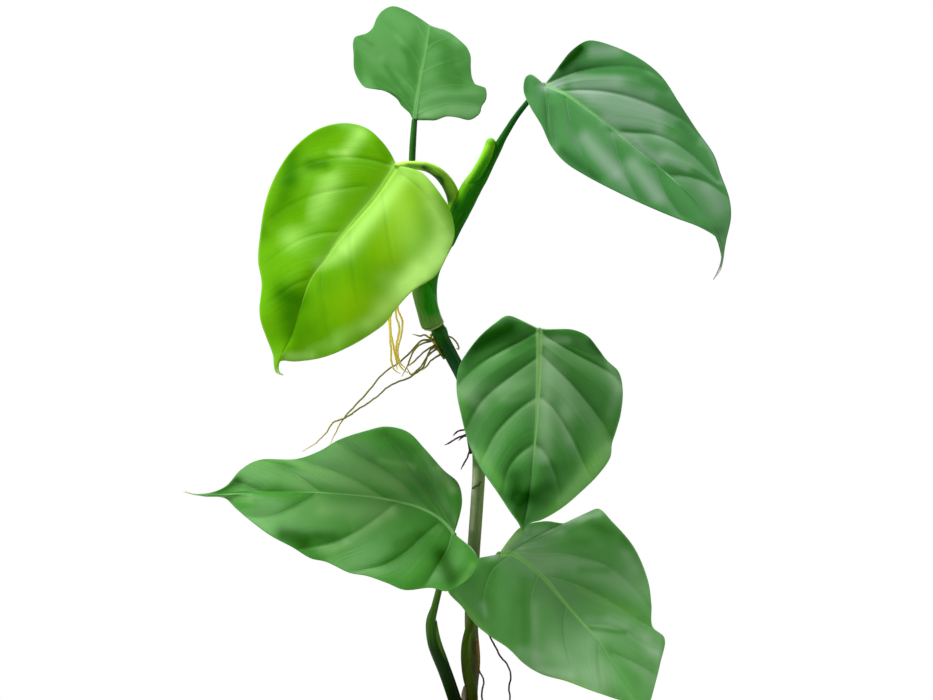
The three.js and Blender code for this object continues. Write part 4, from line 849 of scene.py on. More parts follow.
            (68, 197, -32), (80, 184, -38), (92, 165, -46), (104, 147.5, -54), (111, 131, -60),
            (109, 122, -62)],
        bow=0.15, ruffle=2.6, waves=3.3, quilt=0.8, rib=2.1, rib_fade=1.2, tip=0.97, slot="deep_leaf",
        left=dict(
            margin=[(15.5, 237.8), (6, 236.3), (-3, 235), (-8, 230), (-13, 222), (-17, 215.5), (-8, 205),
                (1, 193.5), (10, 186), (22, 178), (33, 167.5), (44, 161), (60, 156.5), (75, 150.8),
                (88, 146.3), (97, 143), (105, 137), (109, 130), (109, 122)],
            tilt=(0.12, 0.2), fan=0.3, sweep=2, arch=0.03, phase=1.2,
            veins=[
                [(23.9, 238.4), (13, 229.6), (7.6, 217.8), (6, 204.8), (7.6, 191.8), (10.4, 185)],
                [(42.3, 226.4), (38.5, 215.6), (36.9, 202.6), (37.9, 189.6), (41.1, 176.6), (44.4, 161)],
                [(60.6, 206.9), (58.5, 193.9), (59.6, 180.9), (62.9, 167.9), (67.1, 154)],
                [(81.3, 179.9), (81.3, 167.9), (84.5, 148)],
            ]),
        right=dict(
            margin=[(17, 240.3), (24, 250), (31, 257), (46, 260.5), (60, 259.3), (72, 264), (80.5, 268.7),
                (90, 260), (104, 243.5), (113, 222), (115.3, 206), (116, 192), (123.8, 184.5), (121, 168),
                (117, 152), (112.5, 136), (110, 128), (109, 122)],
            tilt=(0.1, 0.3), fan=0.24, sweep=2.4, arch=0.05, phase=2.4,
            veins=[
                [(23.9, 241.6), (35.8, 245.9), (48.8, 251.4), (63.9, 257.9), (74.7, 265)],
                [(26, 240.5), (42.3, 239), (57.4, 239), (72.6, 236.1), (85.6, 231.9), (98.6, 222.1),
                 (107.3, 213.4), (114, 204)],
                [(48.8, 224.3), (63.9, 219.9), (79.1, 213.4), (94.3, 204.8), (107.3, 196.1),
                 (116.9, 189.6)],
                [(74.8, 192.9), (85.6, 192.9), (98.6, 188.5), (111.6, 179.9), (122, 174.4)],
                [(89.9, 174.4), (105.1, 167.9), (119, 159.3)],
            ]),
        sheen_and_shade_strokes=[(77, 260, 97, 248, 5.5, -0.6), (33, 248, 62, 258, 1.6, 0.3), (12, 227, 10, 200, 3.9, -0.25),
            (32, 221, 33, 183, 2.9, -0.25), (39, 206, 40, 170, 3.6, 0.25), (56, 177, 79, 157, 11.4, 0.5),
            (79, 183, 108, 161, 9.8, 0.3), (75, 196, 98, 193, 3.9, 0.25), (121, 187, 118, 151, 2.3, 0.2),
            (75, 191, 98, 188, 1.5, -0.4), (51, 255, 82, 256, 3.6, -0.1), (9, 232, -3, 221, 4.9, -0.25),
            (28, 170, 49, 161, 3.2, 0.2), (35, 234, 82, 170, 14.6, 0.15), (59, 260, 82, 266, 2.6, 0.8),
            (12, 238, 33, 254, 3, 0.5), (35, 242, 111, 216, 9, 0.3), (112, 184, 116, 176, 5, 0.4),
            (43, 164, 62, 160, 4, 0.4), (6, 206, 8, 200, 3, 0.4), (27, 210, 25, 187, 5, -0.2),
            (85, 177, 105, 157, 6, -0.35), (56, 183, 69, 170, 6, -0.2), (62, 262, 80, 262, 3, 0.3),
            (40, 254, 56, 254, 3, 0.4), (24, 256, 32, 253, 2, -0.3), (9, 236, 30, 243, 3, 0.4),
            (92, 250, 104, 230, 4, 0.3), (70, 229, 86, 228, 3, -0.3), (38, 229, 50, 228, 4, 0.25),
            (64, 248, 74, 247, 3, -0.25), (88, 197, 104, 188, 4, 0.3), (108, 186, 120, 176, 4, 0.25),
            (30, 176, 44, 172, 4, 0.25)],
        glow=[(17, 240, 32, 256, 1.3, 0.5), (-12, 213, 9, 187, 1.3, 0.2), (56, 158, 82, 148, 1.3, 0.5),
            (69, 216, 105, 200, 2.6, 0.12)]),
}


def at_share(line, share):
    """The points of a row at shares of its length, and the unit way along it there."""
    run = length_along(line)

    def pick(s):
        return np.stack([np.interp(np.clip(s, 0, 1) * run[-1], run, part) for part in line.T], axis=-1)

    way = pick(share + 0.003) - pick(share - 0.003)
    return pick(share), way[..., :2] / np.linalg.norm(way[..., :2], axis=-1, keepdims=True)


def away_from(flat, line):
    """For each drawn point, its way from the nearest point of a drawn line, and that point's place."""
    nearest = np.argmin(np.hypot(*np.moveaxis(flat[..., None, :] - line, -1, 0)), axis=-1)
    return flat - line[nearest], nearest


def vein_field(flat, veins, tip):
    """For drawn points, the distance in millimetres from the nearest side vein, with its sign
    changed from one strip between veins to the next, and the place among the veins, which grows by
    one from each vein to the next. A vein is passed where a point lies on the tip's side of it, by
    the sign of the cross product of the vein's way and the way from the vein to the point."""
    past = []
    for vein in veins:
        line = curve(vein, 24)
        way = np.gradient(line, axis=0)
        away, nearest = away_from(flat, line)
        turn = way[nearest][..., 0] * away[..., 1] - way[nearest][..., 1] * away[..., 0]
        last, to_tip = way[len(way) // 2], tip - line[len(line) // 2]
        tip_side = np.sign(last[0] * to_tip[1] - last[1] * to_tip[0])
        past.append(np.hypot(away[..., 0], away[..., 1]) * np.sign(turn) * tip_side)
    past = np.array(past)
    passed = np.sum(past > 0, axis=0)
    before = np.where(past > 0, past, END_STRIP).min(axis=0)
    ahead = np.where(past > 0, END_STRIP, -past).min(axis=0)
    gap = np.abs(past).min(axis=0) * (1 - 2 * (passed % 2))
    return gap, passed + before / (before + ahead + 1e-6)


def below_lobes(rows):
    """The share of the rows below the lobes that is passed."""
    return np.clip((rows - LOBE_ROWS) / (1 - LOBE_ROWS), 0, 1)


def half_blade(leaf, side, rows, f):
    """One half of a blade, on a grid of rows from joint to tip and of shares f from midrib to
    margin. The line of a row is a parabola from its point on the midrib to its point on the margin,
    bent back against the midrib's way. Its depth is the midrib's, plus the half's tilt times the way
    from the midrib, less an arch that swells towards the viewer between the veins, plus a wave that
    grows with the square of f. The tilt fades out close to the tip and the wave at both ends.
    Returns the points, the distance from midrib to margin, the points as they are drawn, the
    distance from the nearest vein, the place among the veins and the swell between them."""
    half = leaf[side]
    outward = -1 if side == "left" else 1
    fan = half["fan"]
    past = below_lobes(rows)
    drawn = past ** (2 / half["sweep"])
    t = np.where(rows < LOBE_ROWS, fan * rows / LOBE_ROWS, fan + (1 - fan) * drawn)
    start = LOBE_HEEL * np.minimum(1, rows / LOBE_ROWS) + (1 - LOBE_HEEL) * past ** 2
    root, heading = at_share(curve(leaf["midrib"], 60), start)
    edge, _ = at_share(curve(half["margin"], 60), t)
    across = np.stack([-heading[..., 1], heading[..., 0]], axis=-1) * outward
    edge = edge + across * TIP_HALF_WIDTH * t[..., None] ** TIP_SQUARENESS
    reach = np.linalg.norm(edge - root[..., :2], axis=-1, keepdims=True)
    bow = leaf["bow"] * np.minimum(1, 4 * drawn)[..., None] * reach
    bend = (root[..., :2] + edge) / 2 - heading * bow
    g = f[..., None]
    flat = (1 - g) ** 2 * root[..., :2] + 2 * g * (1 - g) * bend + g**2 * edge
    gap, count = vein_field(flat, half["veins"], np.array(leaf["midrib"][-1][:2], float))
    pillow = 1 - np.exp(-((np.abs(gap) / QUILT_REACH) ** 1.2))
    quilted = QUILTING * leaf["quilt"] * pillow * np.minimum(1, reach[..., 0] / 20)
    swell = half["arch"] * reach[..., 0] + quilted
    wave = np.sin(2 * math.pi * leaf["waves"] * t + half["phase"])
    ruffle = leaf["ruffle"] * wave * f**2 * np.minimum(1, np.minimum(6 * (1 - t), 5 * t))
    lean = (flat - root[..., :2]) @ np.array(half["tilt"], float) * np.minimum(1, 14 * (1 - rows))
    depth = root[..., 2] + lean - 4 * f * (1 - f) * swell + ruffle
    points = placed(np.concatenate([flat, depth[..., None]], axis=-1))
    return points, reach[..., 0], flat, gap, count, quilted


def upward_slope(height, flat):
    """How fast a height grows with z over drawn points: by the chain rule, the difference of the two
    crossed products of its steps and the x steps along both ways of the grid, over the cell's area."""
    (down_x, down_z), (along_x, along_z) = (np.moveaxis(np.gradient(flat, axis=k), -1, 0) for k in (0, 1))
    down_h, along_h = np.gradient(height, axis=0), np.gradient(height, axis=1)
    area = down_x * along_z - along_x * down_z
    area = np.where(np.abs(area) < 1e-3, np.inf, area)
    return (down_x * along_h - along_x * down_h) / area


def grid_normals(points):
    """Unit normals of a grid: the way to the next row crossed with the way along the row."""
    down, along = np.gradient(points, axis=0), np.gradient(points, axis=1)
    normal = np.cross(down, along)
    return normal / np.maximum(np.linalg.norm(normal, axis=-1, keepdims=True), 1e-9)


def blade(leaf):
    """A closed blade: an upper and a lower face half a thickness to each side of the middle
    surface, joined round the margin. The thickness thins towards the margin, the midrib stands out
    below, and both faces follow a furrow along each side vein. The columns lie closer at the
    midrib and the margin, and in the streaks' pattern each strip between veins has the same width
    and the halves lie far apart. Returns points, faces and marks."""
    rows = np.linspace(0, 1, BLADE_ROWS + 1)[:, None]
    even = np.linspace(0, 1, BLADE_COLUMNS + 1)[None]
    f = 0.55 * even + 0.45 * (0.5 - 0.5 * np.cos(math.pi * even))
    left, right = (half_blade(leaf, side, rows + 0 * f, f + 0 * rows) for side in ("left", "right"))
    middle, reach, flat, gap, count, quilted = (
        np.concatenate([a[:, :0:-1], b], axis=1) for a, b in zip(left, right))
    share = np.concatenate([-f[:, :0:-1], f], axis=1) + 0 * rows
    inward = 1 - np.abs(share)
    past = below_lobes(rows)
    fade = np.clip((1 - rows) / VEIN_FADE_ROWS, 0, 1)
    vein_width = VEIN_END_WIDTH + (VEIN_ROOT_WIDTH - VEIN_END_WIDTH) * inward ** 1.5
    vein = np.abs(gap) / vein_width + 3 * (1 - fade)
    # Painted shade in the furrows beside the side veins
    furrow = np.exp(-np.abs(gap) / VEIN_SHADE_REACH) * fade * np.clip(reach / 15, 0, 1) * (1 - share**6)
    line = curve(placed(leaf["midrib"]), 30)
    from_rib = np.sign(share) * np.linalg.norm(middle[..., None, :] - line, axis=-1).min(axis=-1)
    rib_width = leaf["rib"] * (1 - 0.55 * past ** 1.2) * np.clip(0.55 + rows / LOBE_ROWS, 0, 1)
    rib = from_rib / rib_width
    normal = grid_normals(middle)
    sunk = np.exp(-((gap / VEIN_FURROW_REACH) ** 2)) * fade * np.clip(np.abs(from_rib) / 3, 0, 1)
    sink = VEIN_FURROW * sunk * (1 - share**4)
    thick = MARGIN_THICKNESS + (BLADE_THICKNESS - MARGIN_THICKNESS) * (1 - share**10)
    ridge = RIB_DEPTH * (1 - rows) * np.sqrt(np.clip(1 - (rib / 1.1) ** 2, 0, 1))
    raised = RIB_RISE * (1 - rows) * np.clip(1 - rib**2, 0, 1)
    upper = middle + normal * (thick / 2 - sink + raised)[..., None]
    lower = middle - normal * (thick / 2 + sink * 0.9 + ridge)[..., None]
    height, width = share.shape
    i, j = np.arange(height - 1), np.arange(width - 1)
    rim = np.concatenate([
        i * width, (height - 1) * width + j, (height - 1 - i) * width + width - 1, width - 1 - j])
    ahead = np.roll(rim, -1)
    under = height * width
    # Painted sheen and shade from the strokes, painted light let through from the glow, and painted light
    # and shade from the swells between the veins: darker where a swell faces down, paler where it faces up
    painted_light_and_shade, glow = shading(flat, leaf["sheen_and_shade_strokes"]), shading(flat, leaf["glow"])
    slope = np.clip(upward_slope(quilted, flat), -STEEPEST_SLOPE, STEEPEST_SLOPE)
    painted_light_and_shade = painted_light_and_shade - SLOPE_SHADE * slope * fade
    along = length_along(middle[:, width // 2])[:, None]
    pattern = PATTERN_OF_STRIP * count + PATTERN_OF_HALF * (share > 0)
    flow = np.stack([pattern, from_rib, glow], axis=-1)
    faint = leaf["rib_fade"] * np.clip((past**2 - RIB_FADE_START) / RIB_FADE_SPAN, 0, 1)
    gaps = np.stack([np.abs(rib) + faint, vein, inward * reach], axis=-1)
    shade = np.stack([painted_light_and_shade, furrow, 0 * painted_light_and_shade], axis=-1)
    tip = np.clip((along / along[-1] - leaf["tip"]) / TIP_FADE, 0, 1) + 0 * share
    faces = grid_faces(height, width)
    marks = {
        "flow": np.vstack([flow.reshape(-1, 3)] * 2),
        "gaps": np.vstack([gaps.reshape(-1, 3)] * 2),
        "shade": np.vstack([shade.reshape(-1, 3), shade.reshape(-1, 3) + [0, 0, 1]]),
        "tip": np.concatenate([tip.ravel()] * 2),
    }
    points = np.vstack([upper.reshape(-1, 3), lower.reshape(-1, 3)])
    walls = np.stack([ahead, rim, under + rim, under + ahead], axis=1)
    return points, [faces[:, ::-1], faces + under, walls], marks


def leaf_material(name, paint):
    """The waxy skin of a leaf over green tissue: darker clouds, painted shade in the furrows round the
    veins, painted sheen and shade, painted light let through the tissue, a light midrib, veins and
    margin, fine streaks along the veins, and a paler, duller lower face."""
    material, tree = new_material(name)
    spot = add(tree, "TexCoord").outputs["Object"]
    flow = add(tree, "Attribute", attribute_name="flow").outputs["Vector"]
    gaps = add(tree, "Attribute", attribute_name="gaps").outputs["Vector"]
    rib, vein, margin = add(tree, "SeparateXYZ", {0: gaps}).outputs
    glow = add(tree, "SeparateXYZ", {0: flow}).outputs["Z"]
    shade = add(tree, "Attribute", attribute_name="shade").outputs["Vector"]
    painted_light_and_shade, furrow, under = add(tree, "SeparateXYZ", {0: shade}).outputs

    # Streaks along the side veins, about a sixteenth of their spacing wide, and clouds 15 mm across
    stretch = add(tree, "Mapping", {"Vector": flow, "Scale": (1.3, 0.03, 0.0)})
    streak = add(tree, "TexNoise", {"Vector": stretch, "Scale": 1.0, "Detail": 3})
    cloud = add(tree, "TexNoise", {"Vector": spot, "Scale": 65, "Detail": 5, "Roughness": 0.62})
    cell = add(tree, "TexNoise", {"Vector": spot, "Scale": 1500, "Detail": 2})

    # Darker green in clouds and streaks, and painted shade in the furrows beside the veins
    depth = add(tree, "Math", {0: cloud, 1: 0.7, 2: -0.35}, operation="MULTIPLY_ADD")
    depth = add(tree, "Math", {0: furrow, 1: paint["furrow"], 2: depth}, operation="MULTIPLY_ADD")
    depth = add(tree, "Math", {0: streak, 1: 0.3, 2: depth}, operation="MULTIPLY_ADD")
    dark = add(tree, "MapRange", {"Value": depth, "From Min": 0.1, "From Max": 1.15})
    # Shares of painted sheen, painted shade and painted light let through the tissue
    paler = add(tree, "MapRange", {"Value": painted_light_and_shade, "From Max": 1.0})
    deeper = add(tree, "MapRange", {"Value": painted_light_and_shade, "From Max": -1.0})
    light_and_tint = add(tree, "MapRange", {"Value": glow, "From Max": 1.0})
    near = add(tree, "MapRange", {"Value": margin, "From Min": 1.4, "From Max": 0.2, "To Max": 0.55})
    on_vein = add(tree, "MapRange", {
        "Value": vein, "From Min": 1.2, "From Max": 0.3, "To Max": paint["vein_share"]},
        interpolation_type="SMOOTHSTEP")
    on_rib = add(tree, "MapRange", {
        "Value": rib, "From Min": 1.1, "From Max": 0.6, "To Max": paint["rib_share"]},
        interpolation_type="SMOOTHSTEP")
    groove = add(tree, "MapRange", {"Value": rib, "From Min": 0.28, "From Max": 0.1, "To Max": 0.35})
    tip = add(tree, "Attribute", attribute_name="tip").outputs["Fac"]
    faded = add(tree, "Math", {0: tip, 1: 0.85}, operation="MULTIPLY")
    below = add(tree, "Math", {0: under, 1: 0.62}, operation="MULTIPLY")

    # From the tissue up: darker clouds and streaks with painted shade in the furrows, painted sheen, painted
    # shade, painted light let through, its margin, veins and midrib, its tip, and the paler lower face over
    # all
    colour = paint["light"]
    for share, layer in (
        (dark, "dark"), (paler, "pale"), (deeper, "deep"), (light_and_tint, "glow"), (near, "edge"), (on_vein, "rib"),
        (on_rib, "rib"), (groove, "light"), (faded, "tip"), (below, "under"),
    ):
        colour = add(tree, "Mix", {0: share, 6: colour, 7: paint[layer]}, data_type="RGBA")

    # Veins stand out by about 0.1 mm below, the streaks by 0.05 mm and the cells by 0.01 mm
    stand = add(tree, "Math", {0: under, 1: 0.4, 2: -0.08}, operation="MULTIPLY_ADD")
    stand = add(tree, "Math", {0: on_vein, 1: stand}, operation="MULTIPLY")
    height = add(tree, "Math", {0: streak, 1: 0.16, 2: stand}, operation="MULTIPLY_ADD")
    height = add(tree, "Math", {0: cell, 1: 0.02, 2: height}, operation="MULTIPLY_ADD")
    bump = add(tree, "Bump", {"Strength": 1.0, "Distance": 0.001, "Height": height})
    dull = add(tree, "Math", {0: under, 1: 0.22, 2: paint["roughness"]}, operation="MULTIPLY_ADD")
    dull = add(tree, "Math", {0: cloud, 1: 0.12, 2: dull}, operation="MULTIPLY_ADD")
    # The gloss is weaker where painted shade darkens the leaf
    sheen = add(tree, "MapRange", {
        "Value": painted_light_and_shade, "From Min": -0.7, "From Max": 0.0, "To Min": 0.2 * paint["gloss"],
        "To Max": paint["gloss"]})
    shader = add(tree, "BsdfPrincipled", {
        "Base Color": colour, "Roughness": dull, "IOR": 1.42, "Specular IOR Level": paint["gloss"],
        "Normal": bump})
    # The level above is the wax's own, for a renderer that takes one gloss for the whole leaf
    tree.links.new(sheen.outputs[0], shader.inputs["Specular IOR Level"])
    add(tree, "OutputMaterial", {"Surface": shader})
    return material


# Leaf tissue under its wax: yellow-green and thin in the young leaf, deep green in the grown ones
# Of a leaf's colours, pale is its painted sheen, deep its painted shade and glow its painted light let
# through; dark is its darker clouds and the painted shade in its furrows, whose strength is furrow
LEAF_PAINT = {
    "top": dict(
        light="#3f7239", dark="#286020", pale="#83b07c", deep="#123f0c", edge="#427a3a", rib="#70a464",
        under="#3f7a34", tip="#7fb070", glow="#6fb050", vein_share=0.3, rib_share=0.7, furrow=0.7,
        gloss=0.2, roughness=0.42,
    ),
    "lime": dict(
        light="#5a9a00", dark="#3c7e00", pale="#b4ea74", deep="#286400", edge="#6fae1c", rib="#9cd84c",
        under="#8fbf3a", tip="#b9d88a", glow="#8abc00", vein_share=0.08, rib_share=0.75, furrow=0.35,
        gloss=0.08, roughness=0.3,
    ),
    "upper_right": dict(
        light="#407c40", dark="#256426", pale="#a0b4a6", deep="#0a3c00", edge="#3f7a40", rib="#7cb874",
        under="#6fa35e", tip="#d5dfd0", glow="#4a9440", vein_share=0.12, rib_share=0.75, furrow=0.6,
        gloss=0.25, roughness=0.36,
    ),
    "middle_right": dict(
        light="#3c7a32", dark="#1e5c0e", pale="#8cb084", deep="#0a3c00", edge="#4f9440", rib="#78a860",
        under="#6fa35e", tip="#2c6a1c", glow="#5ca038", vein_share=0.12, rib_share=0.75, furrow=0.6,
        gloss=0.2, roughness=0.38,
    ),
    "lower_left": dict(
        light="#387c24", dark="#205f0a", pale="#80b06c", deep="#123f00", edge="#458a3a", rib="#70a85c",
        under="#6fa35e", tip="#c4d6ba", glow="#7cbc60", vein_share=0.2, rib_share=0.7, furrow=0.6,
        gloss=0.2, roughness=0.4,
    ),
    "lower_right": dict(
        light="#4c8840", dark="#327024", pale="#8cb088", deep="#205c08", edge="#5d9a3c", rib="#74b058",
        under="#6fa35e", tip="#9cc48a", glow="#88b444", vein_share=0.4, rib_share=0.85, furrow=0.5,
        gloss=0.2, roughness=0.46,
    ),
}
for place, leaf in LEAVES.items():
    skin = leaf_material(f"waxy_leaf_skin_{place}", LEAF_PAINT[place])
    points, faces, marks = blade(leaf)
    body = add_mesh(f"{place}_blade", points, faces)
    finish_piece(body, skin, [f"{place}_leaf_blade"], marks)

# New leaf sheath
# The next leaf, still furled in its pale green sheath. It stands against the upper right petiole
# and ends in a blunt, slightly hooked tip, with a pale painted highlight along its upper left side.

SHEATH_ROUTE = [
    (-9.5, 468, 3.2), (-5.8, 475.2, 1.4), (-2.7, 480, -0.6), (1.8, 486.5, -2.8), (5.5, 493, -4),
    (8.6, 499.5, -4.6), (10.9, 506.3, -4.6),
]
SHEATH_RADII = [3.4, 4, 4.1, 3.9, 3.7, 3.6, 3.3]
# A painted highlight along the sheath's upper left side, as a stroke from (x, z) to (x, z) with its radius
# and strength
SHEATH_PAINTED_HIGHLIGHT = [(-7, 477, 8, 504, 1.9, 0.9)]

# Young sheath tissue: smooth and juicy green, with no flecks, and a painted highlight along its upper left
# side
sheath_skin = stalk_material("young_sheath_skin", [
    (0.0, "#1e7202"), (0.3, "#2a8004"), (0.55, "#369004"), (0.75, "#429806"), (0.92, "#6cb41a"),
    (1.0, "#62ac14"),
], roughness=0.42, flecks=0, relief=0, streaks=0.04, light_and_tint_colour="#84c62c")
points, faces, marks = tube(curve(placed(SHEATH_ROUTE)), SHEATH_RADII, 40, flat=0.95)
marks["light_and_tint"] = shading(points[:, [0, 2]], SHEATH_PAINTED_HIGHLIGHT)
bud = add_mesh("new_leaf_sheath_skin", points, faces)
finish_piece(bud, sheath_skin, ["new_leaf_sheath"], marks)

# Aerial roots
# Wiry roots that grow from the nodes and hang free, about a millimetre thick. Each bunch comes out
# of a pad of root tissue on the stem. Living ones are olive or yellow, and dried ones dark brown.

ROOT_RADIUS = 0.58
ROOT_TAPER = [1.3, 1.0, 1.05, 0.9, 1.0, 0.95, 0.7, 0.35]
ROOT_WANDER = 0.2
# Each root of a bunch runs from its pad to its tip as (x, z, depth)
ROOT_BUNCHES = {
    "upper": dict(
        node="upper_aerial_roots", slot="olive_root",
        pad=[(-19.5, 366.5, 0), (-22, 370.5, 0), (-26.6, 379, 0)],
        pad_radii=[0.8, 1, 0.9],
        stops=[(0.0, "#70702c"), (0.3, "#747a2a"), (0.7, "#88862f"), (1.0, "#cdb548")],
        routes=[
            [(-27, 378, -1), (-34, 378, -2), (-38.5, 373.5, -3), (-47, 365, -3), (-59, 356.5, 0),
             (-69.5, 344, 5), (-76.5, 336.5, 9), (-85, 327, 15), (-90.5, 317, 22), (-93.5, 310.5, 27)],
            [(-25, 374, -1.5), (-29, 371, -5), (-33, 361, -6), (-42, 354, -6), (-54, 349, -5),
             (-65, 340, -4), (-76.5, 332.5, -1), (-84, 327.5, 1), (-91, 325, 3), (-97, 317, 5),
             (-104, 310.5, 7), (-111.5, 306, 8)],
            [(-27, 378, -2), (-32, 381.5, -5), (-35, 381, -6), (-40, 382, -6.5)],
            [(-27, 378, 0), (-37, 374, 2), (-42, 365, 3), (-43.5, 361, 3), (-47, 354.5, 3)],
            [(-25.5, 375, 0), (-32, 371, 1.5), (-40, 363.5, 1.5), (-43.5, 361, 1)],
            [(-24.5, 372.5, -1), (-29, 369, -3), (-36, 359.5, -3), (-41, 356, -3), (-44, 361, -3)],
            [(-22.5, 368.5, -0.5), (-28, 365, 0), (-31, 361, 0), (-34, 358.5, 0)],
            [(-24, 372, 1), (-22, 376, 5.5), (-17, 380.5, 6), (-12.6, 378.2, 3), (-10, 374.4, 2),
             (-10.2, 372.2, 2), (-11.4, 373, 2)],
        ]),
    "yellow": dict(
        node="yellow_aerial_roots", slot="yellow_root", radius=0.7, flecks=0.05,
        pad=[(-29.8, 424, -3), (-30, 428, -3.4), (-28.6, 432, -3)],
        pad_radii=[1.3, 1.7, 1.3],
        stops=[(0.0, "#e0be3c"), (0.5, "#f4dc64"), (1.0, "#e4ce54")],
        routes=[
            [(-30.5, 428, -3.5), (-40, 426, -9), (-50, 412, -11), (-55.5, 396, -10), (-55, 388, -9),
             (-54, 372, -9), (-53.5, 363, -9), (-52, 359, -9), (-48, 356.5, -9)],
            [(-30.5, 429, -3.5), (-39, 428, -11), (-48, 414, -13), (-53, 399, -12.5), (-54.5, 388, -12),
             (-52, 372, -12), (-50.5, 364, -12), (-50, 359, -12)],
            [(-30.5, 427, -3.5), (-39, 424, -7), (-46, 414, -8), (-49.8, 405, -8), (-49, 397, -7.5),
             (-46.5, 390, -7), (-47.6, 380.5, -6), (-49.7, 371, -6), (-47, 362, -6), (-44.5, 360, -6)],
            [(-30.5, 426.5, -3.5), (-39, 422, -9), (-46.5, 412, -10.5), (-50.5, 402, -10),
             (-50.5, 394, -9.5), (-48.5, 385, -9), (-50.5, 375, -9), (-50, 366, -9), (-46.5, 359.5, -9),
             (-43, 357, -9)],
            [(-28, 381.5, 2), (-27.6, 378.5, 1.6), (-25.6, 375.5, 1.4), (-23.6, 372.5, 1),
             (-21.6, 370, 0.6)],
        ]),
    "middle": dict(
        node="middle_aerial_roots", slot="brown_root",
        pad=[(-4.2, 322, 0), (-3.4, 314, 0), (-2.2, 305, 0)],
        pad_radii=[0.9, 1.1, 0.9],
        stops=[(0.0, "#4a3a2c"), (0.5, "#4a3430"), (1.0, "#3a2c33")],
        routes=[
            [(-4, 320, 0), (-9, 319.5, -1), (-12, 318, -1), (-13.5, 316, -1)],
            [(-3.6, 317.5, 0), (-12, 314, 0), (-16, 311.5, 0), (-19, 310, 0)],
            [(-3.5, 316, -0.5), (-7, 315.5, -2.5), (-10, 313, -3)],
            [(-2.6, 307, 0), (-4, 303, -0.5), (-6.5, 298, -1), (-8.5, 294, -1)],
            [(-0.6, 282, -4), (1, 283.4, -5), (3, 284, -5), (4.6, 286.5, -4.4)],
        ]),
    "feeder": dict(
        node="feeder_root", slot="brown_root",
        pad=[(3.2, 200, 1), (3.3, 197, 1), (3.2, 193, 1)],
        pad_radii=[1, 1.4, 1],
        stops=[(0.0, "#4a3433"), (0.6, "#3a2b36"), (1.0, "#5a4048")],
        routes=[
            [(3.3, 197, 1), (6, 191, 2), (10, 186, 2), (17, 173, 1), (21, 168, 0), (23.5, 163, -1),
             (23.7, 158, -2), (22.7, 152, -3), (23.3, 146, -4), (23.5, 132, -5), (22, 116, -6),
             (20, 100, -7)],
        ]),
    "stem": dict(
        node="brown_rootlet", slot="brown_root",
        pad=[(1.6, 184, -4.6), (2, 181, -4.8), (2, 177, -4.8)],
        pad_radii=[0.5, 0.6, 0.5],
        stops=[(0.0, "#9a6a22"), (0.25, "#7d5222"), (0.4, "#3a2c2c"), (1.0, "#33262c")],
        routes=[
            [(2, 181, -4.9), (2.4, 174, -5.8), (2.5, 169, -6.2), (3, 164, -6.2), (5, 160.5, -6.2),
             (6.3, 157, -6.4), (5.2, 150, -6.8), (5.4, 140, -7), (6, 128, -7.2), (6, 116, -7.5),
             (6, 104, -8)],
        ]),
}


def wander(line, seed, size):
    """A row of points moved a little aside, by sines of the length along it with three spacings.
    The movement fades out at both ends."""
    chance = np.random.default_rng(seed)
    run = length_along(line)[:, None]
    fade = np.clip(run / 4, 0, 1) * np.clip((run[-1] - run) / 2, 0, 1)
    moved = sum(
        share * np.sin(2 * math.pi * run / spacing + chance.uniform(0, 6.3, (1, 3)))
        for spacing, share in ((11, 0.5), (5.2, 0.3), (2.7, 0.15)))
    return line + moved * fade * size


for number, (name, bunch) in enumerate(ROOT_BUNCHES.items()):
    # Thin bark of a root: dull, with faint streaks and dark flecks, paler or darker towards its tip
    bark = stalk_material(
        f"aerial_root_bark_{name}", bunch["stops"], roughness=0.6, fleck="#2e2418",
        flecks=bunch.get("flecks", 0.25), streaks=0.15)
    radii = bunch.get("radius", ROOT_RADIUS) * np.array(ROOT_TAPER)
    parts = [tube(curve(placed(bunch["pad"])), bunch["pad_radii"], 20, ribs=4, depth=0.15)]
    for k, route in enumerate(bunch["routes"]):
        parts.append(tube(wander(curve(placed(route), 18), 10 * number + k, ROOT_WANDER), radii, 10))
    points, faces, marks = joined(parts)
    roots = add_mesh(f"{name}_roots", points, faces)
    finish_piece(roots, bark, [bunch["node"]], marks)

# Dry bract
# The papery remains of an old leaf's bract, dried to straw at the foot of the stem. It is thin and
# ribbed, and stays caught between the stem and the stalks.

BRACT_ROUTE = [(-5.5, 132, -4.5), (-6.3, 138, -7.5), (-7, 148, -9.5), (-6.5, 153, -9.5)]
BRACT_RADII = [1.2, 1.4, 1.1, 0.4]

# Dead papery tissue: straw-coloured, dull and flecked with brown
bract_paper = stalk_material("dried_bract_papery_tissue", [
    (0.0, "#8a7a55"), (0.5, "#d6ccb0"), (1.0, "#c4b890"),
], roughness=0.75, fleck="#6a5636", flecks=0.4)
points, faces, marks = tube(curve(placed(BRACT_ROUTE)), BRACT_RADII, 24, flat=0.6, ribs=6, depth=0.14)
bract = add_mesh("dry_bract_tissue", points, faces)
finish_piece(bract, bract_paper, ["dry_bract"], marks)

# Camera
# A level camera in front of the plant, at the height of the eye from which it is drawn. One
# millimetre at the stem is one part in 606 of the picture's width, which gives the lens.

PICTURE_WIDTH = 606.45
SENSOR_WIDTH = 36
lens = bpy.data.cameras.new("camera")
lens.sensor_fit = "HORIZONTAL"
lens.sensor_width = SENSOR_WIDTH
lens.lens = SENSOR_WIDTH * EYE_DISTANCE / PICTURE_WIDTH
lens.clip_start = 0.05
lens.clip_end = 50
camera = bpy.data.objects.new("camera", lens)
camera.location = (EYE_X * MM, -EYE_DISTANCE * MM, EYE_Z * MM)
camera.rotation_euler = (math.radians(90), 0, 0)
bpy.context.scene.collection.objects.link(camera)
bpy.context.scene.camera = camera

# Light and floor
# Soft daylight from large diffusers above, to the left and in front, in a white room. The floor is
# a pale round table top under the pot, low enough to stay below the picture.

